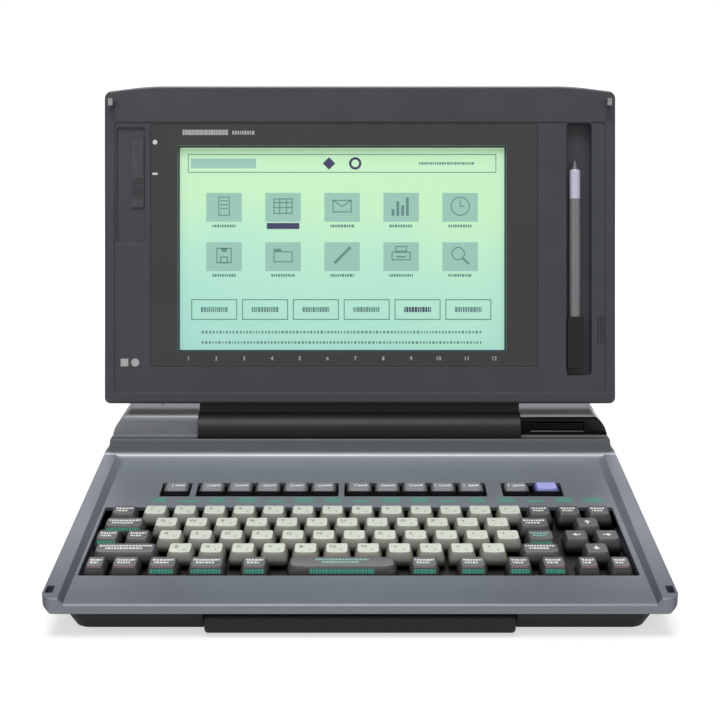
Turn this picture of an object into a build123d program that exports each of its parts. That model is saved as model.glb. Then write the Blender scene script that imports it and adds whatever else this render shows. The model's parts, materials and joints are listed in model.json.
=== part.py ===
"""A portable word processor: a wedge-shaped keyboard base with a printer housing behind it, and a hinged
lid that carries a liquid crystal screen and a stylus.

Millimetres, +Z up, +X to the right as the typist sees it, +Y away from the typist. The origin is on the
table, under the middle of the base. Distances called "back" are measured from the front edge, and heights
from the table. What sits at a side, at the rear or round the keys takes its place from that side.
"""

import os
from math import cos, pi, radians, sin, tan

from build123d import *

os.makedirs("parts", exist_ok=True)

# ---------------------------------------------------------------- driving dimensions

# the base
body_width = 340.0
body_depth = 350.0
foot_height = 3.0
foot_radius = 8.0
wall = 2.5
floor_thickness = 2.0
split_height = 14.0  # where the black tray meets the grey covers
tray_inset_top = 10.0  # how far the tray stands in from the covers at its top, at each side
tray_inset_bottom = 16.0
tray_front_inset_top = 5.0
tray_front_inset_bottom = 9.0
tray_corner = 9.0
skirt_chamfer_run = 5.0  # the covers' lower edge slopes in by this much
skirt_chamfer_rise = 4.0
front_corner = 8.0
rear_corner = 12.0

# the sloping deck and its side rims
deck_front_height = 19.0
deck_slope = 5.5
rim_front_height = 22.2
rim_slope = 5.9
rim_width = 6.4
rim_flank = 5.6  # run of the rim's sloping inner side

# the rear housing
housing_depth = 143.0  # from the deck's end to the rear
housing_height = 65.5
ridge_width = 6.5
step_below_hinge = 2.4  # the low wall in front of the hinge barrel ends this far under the axis
step_run = 3.0
shoulder_behind_deck = 21.0
shoulder_inset_low = 3.0
shoulder_inset_top = 13.0
shoulder_front_round = 4.0
housing_rear_round = 8.0

# the lid and its hinge
lid_overhang = 1.1  # how far the closed lid stands out past the front edge
lid_side_overhang = 2.0  # and past each side
lid_thickness = 26.0
lid_front_half = 14.0
lid_wall = 2.4
lid_lean = 12.0  # the lid leans back by this much at rest
lid_shoulder_drop = 3.2  # the top edge falls by this much towards the corners
lid_shoulder_run = 40.0
lid_top_corner = 5.0
lid_bottom_corner = 4.0
lid_back_round = 10.0
hinge_behind_deck = 24.0
barrel_radius = 12.0
barrel_left_inset = 61.3
barrel_right_inset = 62.2
lid_above_hinge = 18.4
face_ahead = 7.6
closing_gap = 0.3
neck_thickness = 6.0  # the neck lies behind the hinge axis, so it clears the low wall
hinge_pin_radius = 2.0
hinge_pin_length = 20.0
hinge_pin_hold = 6.0  # how much of the pin is held in the shoulder

# running clearances
fit = 0.05
slip = 0.3
side_slip = 0.5

# the keyboard: its layout is drawn for this well and this deck, and follows them when they change
layout_width = 311.2
layout_depth = 207.0
layout_key_pitch = 17.95
layout_row_pitch = 18.3
layout_first_row = 48.1  # distance up the deck to the middle of the lowest row
layout_function_row = 163.4
layout_function_length = 14.0
key_gap = 0.9
key_top_height = 2.6
key_cap_height = 7.2
key_travel = 2.8
key_top_taper = 4.4
key_top_shortening = 5.5  # a cap's top is this much shorter than the row pitch
key_top_shift = 0.9
key_wall = 1.3
stem_side = 4.0
stem_slip = 0.15
function_top_height = 1.2
function_cap_height = 5.2
frame_gap = 0.4
frame_thickness = 1.6
stem_reach = 0.8  # a stem ends this far under the guide frame
dome_height = 0.6
dome_radius = 2.7
mat_thickness = 0.4
plate_thickness = 0.8

# the screen: margins of the panel in the lid, and of the window in the panel
panel_margin_left, panel_margin_right = 28.9, 50.4
panel_margin_bottom, panel_margin_top = 24.9, 25.5
window_margin_left, window_margin_right = 18.1, 20.8
window_margin_bottom, window_margin_top = 10.0, 14.1
field_depth = 0.8
panel_thickness = 2.2
glass_thickness = 2.2
backlight_thickness = 4.0

# ---------------------------------------------------------------- places worked out from them

half_width = body_width / 2
front = -body_depth / 2
floor_top = foot_height + floor_thickness
deck_depth = body_depth - housing_depth
hinge_back = deck_depth + hinge_behind_deck
shoulder_back = deck_depth + shoulder_behind_deck
lid_height = hinge_back - lid_above_hinge + lid_overhang
lid_half = half_width + lid_side_overhang
lid_flat_half = lid_half - lid_shoulder_run
barrel_left = barrel_left_inset - half_width
barrel_right = half_width - barrel_right_inset
rim_height_at_hinge = rim_front_height + hinge_back * tan(radians(rim_slope))
hinge_height = rim_height_at_hinge + (closing_gap + face_ahead) / cos(radians(rim_slope))
hinge_y = front + hinge_back
ridge_back = deck_depth + ridge_width
ridge_height = rim_front_height + ridge_back * tan(radians(rim_slope))
step_height = hinge_height - step_below_hinge
housing_under = housing_height - wall
low_roof = hinge_height - barrel_radius - side_slip - 2 * fit - 2.0  # the inner roof under the hinge barrel
trough_top = half_width - rim_width
trough_floor = trough_top - rim_flank
well_left = 1.7 - trough_floor
well_right = trough_floor - 3.1
spread = (well_right - well_left) / layout_width
stretch = deck_depth / layout_depth
key_pitch = layout_key_pitch * spread
row_pitch = layout_row_pitch * stretch
first_row = layout_first_row * stretch
function_row = layout_function_row * stretch
function_cap_length = layout_function_length * stretch
key_top_length = row_pitch - key_top_shortening
panel_left, panel_right = panel_margin_left - half_width, half_width - panel_margin_right
panel_bottom, panel_top = panel_margin_bottom, lid_height - panel_margin_top
screen_left, screen_right = panel_left + window_margin_left, panel_right - window_margin_right
screen_bottom, screen_top = panel_bottom + window_margin_bottom, panel_top - window_margin_top


def back(distance):
    """The Y of a point that lies this far behind the front edge."""
    return front + distance


def deck_height(distance):
    return deck_front_height + distance * tan(radians(deck_slope))


def rim_height(distance):
    return rim_front_height + distance * tan(radians(rim_slope))


# the deck's surface: local y runs up the slope from the front edge
deck_plane = Plane(
    origin=(0, front, deck_front_height),
    x_dir=(1, 0, 0),
    z_dir=(0, -sin(radians(deck_slope)), cos(radians(deck_slope))),
)
# the hinge axis and the lid's face at rest: local y runs up the lid, and z towards the typist
hinge_plane = Plane(
    origin=(0, hinge_y, hinge_height),
    x_dir=(1, 0, 0),
    z_dir=(0, -cos(radians(lid_lean)), sin(radians(lid_lean))),
)
lid_face = Plane(
    origin=hinge_plane.from_local_coords((0, lid_above_hinge, face_ahead)),
    x_dir=(1, 0, 0),
    z_dir=hinge_plane.z_dir,
)


# ---------------------------------------------------------------- shared shapes


def slab(x, y, z, plane=Plane.XY, mode=Mode.ADD, corner=0.0):
    """A block between two places along each axis of the plane, with rounded upright edges if asked for."""
    with BuildSketch(plane.offset(z[0])) as outline:
        with Locations(((x[0] + x[1]) / 2, (y[0] + y[1]) / 2)):
            if corner:
                RectangleRounded(x[1] - x[0], y[1] - y[0], corner)
            else:
                Rectangle(x[1] - x[0], y[1] - y[0])
    extrude(outline.sketch, amount=z[1] - z[0], mode=mode)


def disc(centre, radius, z, plane=Plane.XY, mode=Mode.ADD):
    """A round bar along the plane's normal, between two places along it."""
    with BuildSketch(plane.offset(z[0])) as outline:
        with Locations(centre):
            Circle(radius)
    extrude(outline.sketch, amount=z[1] - z[0], mode=mode)


def discs(centres, radius, z, plane=Plane.XY, mode=Mode.ADD):
    for centre in centres:
        disc(centre, radius, z, plane, mode)


def side_profile(points, half, mode=Mode.ADD):
    """A prism across the whole width whose section is given as (back, height) points."""
    with BuildSketch(Plane.YZ.offset(-half)) as outline:
        with BuildLine():
            Polyline([(back(distance), height) for distance, height in points], close=True)
        make_face()
    extrude(outline.sketch, amount=2 * half, mode=mode)


def toothed_wheel(plane, centre, radius, width, teeth, tooth_depth):
    """A spur wheel: a disc with square notches cut round its rim."""
    disc(centre, radius, width, plane)
    with BuildSketch(plane.offset(width[0])) as notches:
        with Locations(centre):
            with PolarLocations(radius, teeth):
                Rectangle(2 * tooth_depth, pi * radius / teeth)
    extrude(notches.sketch, amount=width[1] - width[0], mode=Mode.SUBTRACT)


# ---------------------------------------------------------------- screws and feet places

screw_x = half_width - 24.0
screw_head_radius = 3.0
screw_shank_radius = 1.5
screw_head_height = 2.0
screw_seat = 7.0
screw_end = 17.5
boss_radius = 4.0
deck_screws = [(side * screw_x, back(distance)) for side in (-1, 1) for distance in (20.0, deck_depth - 10.0)]
ridge_screws = [(side * screw_x, back(deck_depth + 14.5)) for side in (-1, 1)]
rear_left_screw = (-screw_x, back(body_depth - 20.0))
rear_mid_screw = (half_width - 139.5, back(body_depth - 15.0))
case_screw_places = deck_screws + ridge_screws + [rear_left_screw, rear_mid_screw]
foot_places = [
    (side * (half_width - 38.0), back(distance)) for side in (-1, 1) for distance in (34.0, body_depth - 32.0)
]

# the carry handle
handle_half = 83.2
handle_front = 1.2
handle_depth = 11.6
handle_low = 2.0
handle_high = 12.6
handle_slip = 0.8
handle_travel = 32.0
strap_inner, strap_outer = 67.0, 77.0
strap_thickness = 1.5
strap_low = floor_top + 0.25
strap_stop_width = 2.0
strap_stop_length = 4.0
pocket_half = handle_half + handle_slip
pocket_depth = handle_front + handle_depth + handle_slip
pocket_wall_back = pocket_depth + wall
strap_end = pocket_wall_back + handle_travel + strap_stop_length + 2.0

# the disk drive in the right side of the rear housing
drive_left, drive_right = half_width - 132.0, half_width - 5.0
drive_near, drive_far = deck_depth + 31.0, body_depth - 10.4
drive_low, drive_high = 17.5, 33.0
drive_bezel_face = half_width - 1.2
disk_slot_low, disk_slot_high = 23.9, 28.9
disk_slot_near, disk_slot_far = drive_near + 4.4, drive_far - 4.2
button_near, button_far = drive_far - 17.6, drive_far - 9.6
button_low, button_high = 18.9, 22.3
button_face = half_width - 0.2

# the loudspeaker and the supply under the printer
speaker_place = (42.0 - half_width, back(deck_depth + 76.0))
speaker_radius = 21.0
supply_left, supply_right = speaker_place[0] + 28.0, drive_left - 14.0
supply_near, supply_far = deck_depth + 39.0, body_depth - 20.0
supply_board_low = 7.0
board_thickness = 1.6

# the main board
board_left, board_right = 30.0 - half_width, half_width - 110.0
board_near, board_far = 75.0, deck_depth - 7.0
board_low = 6.8

# the card slot in the right shoulder, whose black front reaches over the shoulder's rounded edge
card_block_left = barrel_right + side_slip
card_block_rear = shoulder_back + 24.0
card_block_low = ridge_height + 0.4
card_block_high = housing_height - 1.5
card_left, card_right = half_width - 54.5, half_width - 18.5
card_low, card_high = housing_height - shoulder_front_round - 7.0, housing_height - shoulder_front_round - 1.2
card_mouth_bevel = 0.7
card_depth = 60.0
flap_thickness = 1.0
flap_slip = 0.35

# the printer, between the left wall and the card cage
plate_left, plate_right = 22.5 - half_width, card_left - 10.5
printer_left, printer_right = plate_left + 9.0, plate_right - 12.5
printer_middle = (printer_left + printer_right) / 2
chassis_inner = (printer_right - printer_left) / 2
roller_length = 2 * chassis_inner - 9.0
chassis_plate = 1.5
chassis_low = 33.6
chassis_floor = 1.2
chassis_near, chassis_far = deck_depth + 43.0, body_depth - 8.0
platen_back, platen_height = body_depth - 44.0, 50.0
platen_radius = 8.0
platen_shaft_radius = 2.5
pinch_radius = 3.0
rod_back, rod_height = deck_depth + 65.0, 42.0
rod_radius = 2.5
carriage_half = 18.0
pulley_back = deck_depth + 50.5
pulley_radius = 5.5
pulley_left, pulley_right = plate_left + 22.5, plate_right - 26.0
belt_low, belt_high = 39.0, 42.0
belt_thickness = 0.8
motor_radius = 11.0
motor_length = 12.5
gear_near, gear_far = plate_right - 9.0, plate_right - 5.0
platen_gear_radius, idler_radius, pinion_radius = 11.0, 6.5, 3.5
gear_gap = 0.3
idler_angle = -10.5
pinion_angle = 12.0
chassis_top = chassis_low + chassis_floor

# openings in the roof of the rear housing
cover_left, cover_right = printer_left + 1.5, printer_right - 1.5
cover_near, cover_far = chassis_near + 4.0, platen_back - 15.0
ledge_width = 3.0
ledge_thickness = 1.5
exit_near, exit_far = platen_back - 10.3, platen_back - 4.5
feed_near, feed_far = platen_back + 10.0, platen_back + 16.6
support_near, support_far = platen_back + 20.6, body_depth - 9.0
support_left, support_right = printer_left + 10.5, printer_right - 10.5
flap_pin_radius = 0.8

# the inlet for the power cord
inlet_left, inlet_right = 32.0 - half_width, 58.0 - half_width
inlet_low, inlet_high = 17.2, 32.8
inlet_length = 19.0

# the latches
hook_x = half_width - 3.3
hook_thickness = 3.0
hook_bottom, hook_top = lid_height - 14.3, lid_height - 9.7
hook_reach = 8.4
latch_slot_width = 4.0
latch_slot_near, latch_slot_far = 7.8, 16.2
latch_slot_floor = 15.0
latch_pocket_near, latch_pocket_far = 18.0, 31.0
latch_travel = 3.5
latch_low, latch_high = 17.6, 19.2

# ---------------------------------------------------------------- the base's three shells


def rounded_tray(low, low_size, high, high_size, corner, mode=Mode.ADD):
    with BuildSketch(Plane.XY.offset(low)) as lower:
        RectangleRounded(*low_size, corner)
    with BuildSketch(Plane.XY.offset(high)) as upper:
        RectangleRounded(*high_size, corner)
    loft([lower.sketch, upper.sketch], ruled=True, mode=mode)


tray_low_size = (body_width - 2 * tray_inset_bottom, body_depth - 2 * tray_front_inset_bottom)
tray_high_size = (body_width - 2 * tray_inset_top, body_depth - 2 * tray_front_inset_top)
strap_hole = [(side * (strap_inner + strap_outer) / 2) for side in (-1, 1)]
chassis_posts = [
    (plate_left + 2.5, back(chassis_near + 4.0)),
    (plate_left + 2.5, back(chassis_far - 3.5)),
    (plate_right - 4.0, back(chassis_near + 4.0)),
    (plate_right - 55.0, back(chassis_far - 3.5)),
]
drive_posts = [
    (x, back(y))
    for x in (drive_left + 12.0, drive_right - 22.0)
    for y in (drive_near + 10.0, drive_far - 9.6)
]
board_posts = [
    (x, back(y)) for x in (board_left + 6, board_right - 6) for y in (board_near + 6, board_far - 6)
]
supply_posts = [
    (x, back(y)) for x in (supply_left + 6, supply_right - 6) for y in (supply_near + 6, supply_far - 6)
]

with BuildPart() as bottom_case:
    rounded_tray(foot_height, tray_low_size, split_height, tray_high_size, tray_corner)
    rounded_tray(
        floor_top,
        (tray_low_size[0] - 2 * wall, tray_low_size[1] - 2 * wall),
        split_height,
        (tray_high_size[0] - 2 * wall, tray_high_size[1] - 2 * wall),
        tray_corner - wall,
        mode=Mode.SUBTRACT,
    )
    # the pocket that the folded handle lies in, closed behind and at its ends
    slab(
        (-pocket_half - wall, pocket_half + wall),
        (back(tray_front_inset_bottom), back(pocket_wall_back)),
        (foot_height, split_height),
    )
    pocket_y = (back(-1), back(pocket_depth))
    slab((-pocket_half, pocket_half), pocket_y, (foot_height, split_height), mode=Mode.SUBTRACT)
    for middle in strap_hole:
        half = (strap_outer - strap_inner) / 2 + slip
        slab(
            (middle - half, middle + half),
            (back(pocket_depth - 1), back(pocket_wall_back + 1)),
            (floor_top, strap_low + strap_thickness + slip),
            mode=Mode.SUBTRACT,
        )
        for side in (-1, 1):
            inner = middle + side * (half + strap_stop_width + 1.0)
            slab(
                (min(inner, inner + side * 1.4), max(inner, inner + side * 1.4)),
                (back(pocket_wall_back), back(strap_end + 20.0)),
                (floor_top, strap_low + strap_thickness),
            )
    # screw bosses, and the posts that carry the boards and the drive
    discs(case_screw_places, boss_radius, (foot_height, split_height))
    discs(drive_posts, boss_radius, (foot_height, drive_low))
    discs(board_posts, boss_radius, (foot_height, board_low))
    discs(supply_posts, boss_radius, (foot_height, supply_board_low))
    discs(case_screw_places, screw_shank_radius + fit, (foot_height, split_height), mode=Mode.SUBTRACT)
    discs(case_screw_places, screw_head_radius + slip, (foot_height, screw_seat), mode=Mode.SUBTRACT)
    # sound slots under the loudspeaker
    with BuildSketch(Plane.XY.offset(foot_height)):
        with Locations(speaker_place):
            with GridLocations(6.0, 0, 5, 1):
                SlotOverall(26.0, 2.4, rotation=90)
    extrude(amount=floor_thickness, mode=Mode.SUBTRACT)

# ---------------------------------------------------------------- the keyboard's layout

rows = [first_row + row_pitch * index for index in range(5)]  # lowest row first
letter_width = key_pitch - key_gap
number_keys_start, number_keys_count = -124.4, 13
upper_keys_start, upper_keys_count = -115.4, 12
home_keys_start, home_keys_count = -111.0, 12
lower_keys_start, lower_keys_count = -103.0, 11
# single keys as (middle, width, row), before the spread
left_control_layout = [(-143.4, 17.6, 4), (-140.4, 26.0, 3), (-147.4, 16.2, 2), (-129.9, 16.6, 2)]
shift_layout = [(-134.4, 38.0, 1), (103.6, 24.5, 1)]
editing_layout = [(109.0, 16.6, 4), (127.0, 16.6, 4), (145.0, 16.6, 4), (104.0, 20.5, 3)]
enter_layout = [(105.6, 18.6, 2)]
cursor_layout = [(135.6, 16.6, 3), (126.6, 16.6, 2), (144.6, 16.6, 2), (135.6, 16.6, 1)]
space_layout = [(-10.0, 63.0, 0)]
lowest_layout = [
    (-148.4, 13.6, 0),
    (-131.6, 17.6, 0),
    (-110.6, 19.0, 0),
    (-86.0, 22.4, 0),
    (-59.2, 17.0, 0),
    (36.2, 18.0, 0),
    (63.2, 18.0, 0),
    (89.4, 16.0, 0),
    (108.8, 16.4, 0),
    (128.0, 14.0, 0),
    (146.2, 14.0, 0),
]
function_pitch = 17.7
function_blocks = [(-116.4, 1), (-93.8, 5), (-0.4, 5)]  # first middle and count of each block
menu_key_x = 99.2
power_key_x = 118.4
function_width = (function_pitch - 0.6) * spread
wide_key = 24.0  # from this width on, a key stands on two stems


def places(start, count, row):
    return [(start * spread + key_pitch * index, rows[row]) for index in range(count)]


def placed(layout):
    """A group's keys as (middle, width, distance up the deck)."""
    return [(x * spread, width * spread, rows[row]) for x, width, row in layout]


letter_rows = {
    "number_keys": places(number_keys_start, number_keys_count, 4),
    "upper_letter_keys": places(upper_keys_start, upper_keys_count, 3),
    "home_letter_keys": places(home_keys_start, home_keys_count, 2),
    "lower_letter_keys": places(lower_keys_start, lower_keys_count, 1),
}
sized_keys = [
    placed(layout)
    for layout in (
        left_control_layout,
        shift_layout,
        editing_layout,
        enter_layout,
        cursor_layout,
        space_layout,
        lowest_layout,
    )
]
function_places = [
    ((first + function_pitch * index) * spread, function_row)
    for first, count in function_blocks
    for index in range(count)
]
menu_place = (menu_key_x * spread, function_row)
power_place = (power_key_x * spread, function_row)


def stem_offsets(width):
    """Where a key of this width stands: on one stem in its middle, or on one near each end."""
    return [0.0] if width < wide_key else [-(width / 2 - 6.0), width / 2 - 6.0]


stem_places = [place for row in letter_rows.values() for place in row]
stem_places += [
    (x + dx, along) for group in sized_keys for x, width, along in group for dx in stem_offsets(width)
]
stem_places += function_places + [menu_place, power_place]

# heights of the layers, measured from the deck's surface along its normal
frame_top = key_top_height - key_cap_height - key_travel - frame_gap
frame_bottom = frame_top - frame_thickness
stem_end = frame_bottom - stem_reach
dome_top = stem_end - key_travel - slip
mat_top = dome_top - dome_height
plate_top = mat_top - mat_thickness
frame_edge = 1.4
well_near = rows[0] - row_pitch / 2 - 3.2
well_far = rows[4] + row_pitch / 2 + 0.9
function_well_near = function_row - function_cap_length / 2 - 8.0
function_well_far = function_row + function_cap_length / 2 + 0.7
function_well_margin = function_width / 2 + 0.9
frame_left, frame_right = 5.0 - trough_floor, trough_floor - 5.0
frame_near, frame_far = well_near - 0.05, function_well_far + 6.9
deck_posts = [(x * spread, well_far + 8.45) for x in (-118.0, -40.0, 40.0, 118.0)]
deck_posts += [(x * spread, function_well_far + 4.1) for x in (-118.0, 0.0, 118.0)]
deck_post_radius = 3.0


def key_cap(width, length, top_length, shift, top_height, cap_height, stems):
    """A hollow key cap with a tapered skirt and its stems, on the deck's surface plane at the origin."""
    low = top_height - cap_height
    with BuildPart() as cap:
        for shrink, drop, mode in ((0.0, 0.0, Mode.ADD), (2 * key_wall, key_wall, Mode.SUBTRACT)):
            with BuildSketch(Plane.XY.offset(low)) as skirt:
                RectangleRounded(width - shrink, length - shrink, 1.3)
            with BuildSketch(Plane.XY.offset(top_height - drop)) as top:
                with Locations((0, shift)):
                    RectangleRounded(width - key_top_taper - shrink, top_length - shrink, 1.2)
            loft([skirt.sketch, top.sketch], ruled=True, mode=mode)
        for dx in stems:
            half = stem_side / 2
            slab((dx - half, dx + half), (-half, half), (stem_end, top_height - key_wall / 2))
    return cap.part


letter_cap = key_cap(
    letter_width, row_pitch - key_gap, key_top_length, key_top_shift, key_top_height, key_cap_height, [0.0]
)
function_cap = key_cap(
    function_width,
    function_cap_length,
    function_cap_length - 2.6,
    0.5,
    function_top_height,
    function_cap_height,
    [0.0],
)


def on_deck(x, along):
    """The place of a key whose middle is at x and this far up the deck."""
    return deck_plane.location * Location((x, along, 0))


with BuildPart() as number_keys:
    with Locations(*[on_deck(x, along) for x, along in letter_rows["number_keys"]]):
        add(letter_cap)
with BuildPart() as upper_letter_keys:
    with Locations(*[on_deck(x, along) for x, along in letter_rows["upper_letter_keys"]]):
        add(letter_cap)
with BuildPart() as home_letter_keys:
    with Locations(*[on_deck(x, along) for x, along in letter_rows["home_letter_keys"]]):
        add(letter_cap)
with BuildPart() as lower_letter_keys:
    with Locations(*[on_deck(x, along) for x, along in letter_rows["lower_letter_keys"]]):
        add(letter_cap)


def sized_caps(layout):
    """The caps of a group whose keys have widths of their own, each with its place."""
    return [
        (
            key_cap(
                width,
                row_pitch - key_gap,
                key_top_length,
                key_top_shift,
                key_top_height,
                key_cap_height,
                stem_offsets(width),
            ),
            on_deck(x, along),
        )
        for x, width, along in placed(layout)
    ]


left_control_caps = sized_caps(left_control_layout)
shift_caps = sized_caps(shift_layout)
editing_caps = sized_caps(editing_layout)
enter_caps = sized_caps(enter_layout)
cursor_caps = sized_caps(cursor_layout)
space_caps = sized_caps(space_layout)
lowest_caps = sized_caps(lowest_layout)

with BuildPart() as left_control_keys:
    for cap, place in left_control_caps:
        with Locations(place):
            add(cap)
with BuildPart() as shift_keys:
    for cap, place in shift_caps:
        with Locations(place):
            add(cap)
with BuildPart() as editing_keys:
    for cap, place in editing_caps:
        with Locations(place):
            add(cap)
with BuildPart() as enter_key:
    for cap, place in enter_caps:
        with Locations(place):
            add(cap)
with BuildPart() as cursor_keys:
    for cap, place in cursor_caps:
        with Locations(place):
            add(cap)
with BuildPart() as space_bar:
    for cap, place in space_caps:
        with Locations(place):
            add(cap)
with BuildPart() as lowest_row_keys:
    for cap, place in lowest_caps:
        with Locations(place):
            add(cap)
with BuildPart() as function_keys:
    with Locations(*[on_deck(x, along) for x, along in function_places + [menu_place]]):
        add(function_cap)
with BuildPart() as power_key:
    with Locations(on_deck(*power_place)):
        add(function_cap)

with BuildPart() as key_frame:
    # a plate with an edge that stands on the steel sheet, and a square guide hole for each stem
    slab((frame_left, frame_right), (frame_near, frame_far), (plate_top, frame_top), plane=deck_plane)
    slab(
        (frame_left + frame_edge, frame_right - frame_edge),
        (frame_near + frame_edge, frame_far - frame_edge),
        (plate_top, frame_bottom),
        plane=deck_plane,
        mode=Mode.SUBTRACT,
    )
    with BuildSketch(deck_plane.offset(frame_bottom)):
        with Locations(*stem_places):
            Rectangle(stem_side + 2 * stem_slip, stem_side + 2 * stem_slip)
    extrude(amount=frame_thickness, mode=Mode.SUBTRACT)

with BuildPart() as dome_mat:
    slab(
        (frame_left + frame_edge + slip, frame_right - frame_edge - slip),
        (frame_near + frame_edge + slip, frame_far - frame_edge - slip),
        (plate_top, mat_top),
        plane=deck_plane,
    )
    with BuildSketch(deck_plane.offset(mat_top)):
        with Locations(*stem_places):
            Circle(dome_radius)
    extrude(amount=dome_height, taper=30)

with BuildPart() as keyboard_plate:
    slab(
        (frame_left, frame_right),
        (frame_near, frame_far),
        (plate_top - plate_thickness, plate_top),
        plane=deck_plane,
    )

# ---------------------------------------------------------------- the deck cover


def below_deck(near, far, drop):
    """Side outline of the hollow between two distances, from the bottom flange to this far under the deck."""
    return [
        (near, split_height + wall),
        (near, deck_height(near) - drop),
        (far, deck_height(far) - drop),
        (far, split_height + wall),
    ]


flank_rise = rim_height(deck_depth) - deck_height(deck_depth) + 2.0
deck_direction = Plane(
    origin=(0, back(-5), deck_height(-5)),
    x_dir=(1, 0, 0),
    z_dir=(0, -cos(radians(deck_slope)), -sin(radians(deck_slope))),
)
skirt_section = [
    (half_width - skirt_chamfer_run, split_height),
    (half_width, split_height + skirt_chamfer_rise),
    (half_width, housing_height),
]
window_half = half_width - tray_inset_top - wall
latch_outer_slot = (hook_x - latch_slot_width / 2, hook_x + latch_slot_width / 2)
latch_tongue_x = (hook_x + 0.3, hook_x + 1.5)
latch_body_x = (hook_x + 0.2, half_width - 0.3)

with BuildPart() as deck_cover:
    # the plan outline, cut by the side outline and by the cross section
    slab((-half_width, half_width), (front, back(deck_depth)), (split_height, housing_height))
    fillet(deck_cover.edges().filter_by(Axis.Z).group_by(Axis.Y)[0], front_corner)
    side_profile(
        [
            (0, split_height),
            (0, rim_front_height),
            (deck_depth, rim_height(deck_depth)),
            (deck_depth, split_height),
        ],
        half_width,
        mode=Mode.INTERSECT,
    )
    with BuildSketch(Plane.XZ.offset(-front)):
        with BuildLine():
            Polyline(skirt_section + [(-x, z) for x, z in reversed(skirt_section)], close=True)
        make_face()
    extrude(amount=-deck_depth, mode=Mode.INTERSECT)
    # the trough between the rims
    with BuildSketch(deck_direction):
        with BuildLine():
            Polyline(
                [(-trough_floor, 0), (-trough_top, flank_rise), (trough_top, flank_rise), (trough_floor, 0)],
                close=True,
            )
        make_face()
    extrude(amount=-(deck_depth + 20), mode=Mode.SUBTRACT)
    # hollow underneath, with thick walls at the front for the latches
    side_profile(below_deck(wall, deck_depth + 1, wall), half_width - rim_width + 1.0, mode=Mode.SUBTRACT)
    side_profile(
        below_deck(latch_pocket_far + wall, deck_depth + 1, wall), half_width - 2 * wall, mode=Mode.SUBTRACT
    )
    slab(
        (-window_half, window_half),
        (back(tray_front_inset_top + wall), back(deck_depth + 1)),
        (split_height, split_height + wall),
        mode=Mode.SUBTRACT,
    )
    # the front edge is rounded
    front_edges = deck_cover.edges().filter_by(Axis.X).filter_by_position(Axis.Y, front - 0.01, front + 0.01)
    fillet(front_edges.filter_by_position(Axis.Z, deck_front_height - 1, deck_front_height + 1), 1.8)
    # wells for the keys
    through = (-2 * wall, 2 * wall)
    slab((well_left, well_right), (well_near, well_far), through, deck_plane, Mode.SUBTRACT, corner=1.5)
    last_places = [(first, first + function_pitch * (count - 1)) for first, count in function_blocks]
    for first, last in last_places + [(menu_key_x, power_key_x)]:
        slab(
            (first * spread - function_well_margin, last * spread + function_well_margin),
            (function_well_near, function_well_far),
            (-2 * wall, 2 * wall),
            deck_plane,
            Mode.SUBTRACT,
            corner=1.0,
        )
    # posts down to the key frame and to the screws
    discs(deck_posts, deck_post_radius, (frame_top, -wall / 2), plane=deck_plane)
    for x, y in deck_screws:
        disc((x, y), boss_radius, (split_height, deck_height(y - front) - wall / 2))
    discs(deck_screws, screw_shank_radius + fit, (split_height, screw_end + slip), mode=Mode.SUBTRACT)
    # latch slots in the rims, and pockets for the latch slides in the sides
    for side in (-1, 1):
        slab(
            tuple(sorted(side * x for x in latch_outer_slot)),
            (back(latch_slot_near), back(latch_slot_far)),
            (latch_slot_floor, rim_height(latch_slot_far) + 2),
            mode=Mode.SUBTRACT,
        )
        slab(
            tuple(sorted((side * (latch_body_x[0] - slip), side * (half_width + 1)))),
            (back(latch_pocket_near), back(latch_pocket_far)),
            (latch_low - 1.4, latch_high + 1.6),
            mode=Mode.SUBTRACT,
        )
        slab(
            tuple(sorted((side * (latch_tongue_x[0] - slip), side * (latch_tongue_x[1] + slip)))),
            (back(latch_slot_far - 1), back(latch_pocket_near + 1)),
            (latch_low - slip, latch_high + slip),
            mode=Mode.SUBTRACT,
        )


def latch_slide(side):
    """One latch: a thumb slide in the side of the base, with a tongue that enters the hook's notch."""
    with BuildPart() as slide:
        slab(
            tuple(sorted((side * latch_body_x[0], side * latch_body_x[1]))),
            (back(latch_pocket_near + latch_travel + slip), back(latch_pocket_far - slip)),
            (latch_low - 1.1, latch_high + 1.3),
        )
        slab(
            tuple(sorted((side * latch_tongue_x[0], side * latch_tongue_x[1]))),
            (back(latch_slot_far + 1.0), back(latch_pocket_near + latch_travel + 1)),
            (latch_low, latch_high),
        )
        for rib in range(4):
            at = latch_pocket_near + latch_travel + 2.0 + 2.0 * rib
            slab(
                tuple(sorted((side * (latch_body_x[1] - 0.5), side * (latch_body_x[1] + 1)))),
                (back(at), back(at + 0.9)),
                (latch_low - 2, latch_high + 2),
                mode=Mode.SUBTRACT,
            )
    return slide.part


left_slide = latch_slide(-1)
right_slide = latch_slide(1)
with BuildPart() as latch_slide_left:
    add(left_slide)
with BuildPart() as latch_slide_right:
    add(right_slide)

# ---------------------------------------------------------------- the rear housing

shoulder_half = half_width - shoulder_inset_low
shoulder_top_half = half_width - shoulder_inset_top
housing_rear = body_depth


def shoulder_section(distance):
    """The shoulders' rounded cross section, upright at this distance from the front edge."""
    bulge = ((shoulder_half + shoulder_top_half) / 2 + 3.2, (ridge_height + housing_height) / 2 + 2.4)
    with BuildSketch(Plane.XZ.offset(-back(distance))) as section:
        with BuildLine():
            Line((-shoulder_half, ridge_height), (shoulder_half, ridge_height))
            ThreePointArc((shoulder_half, ridge_height), bulge, (shoulder_top_half, housing_height))
            Line((shoulder_top_half, housing_height), (-shoulder_top_half, housing_height))
            ThreePointArc(
                (-shoulder_top_half, housing_height), (-bulge[0], bulge[1]), (-shoulder_half, ridge_height)
            )
        make_face()
    return section.sketch


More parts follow.
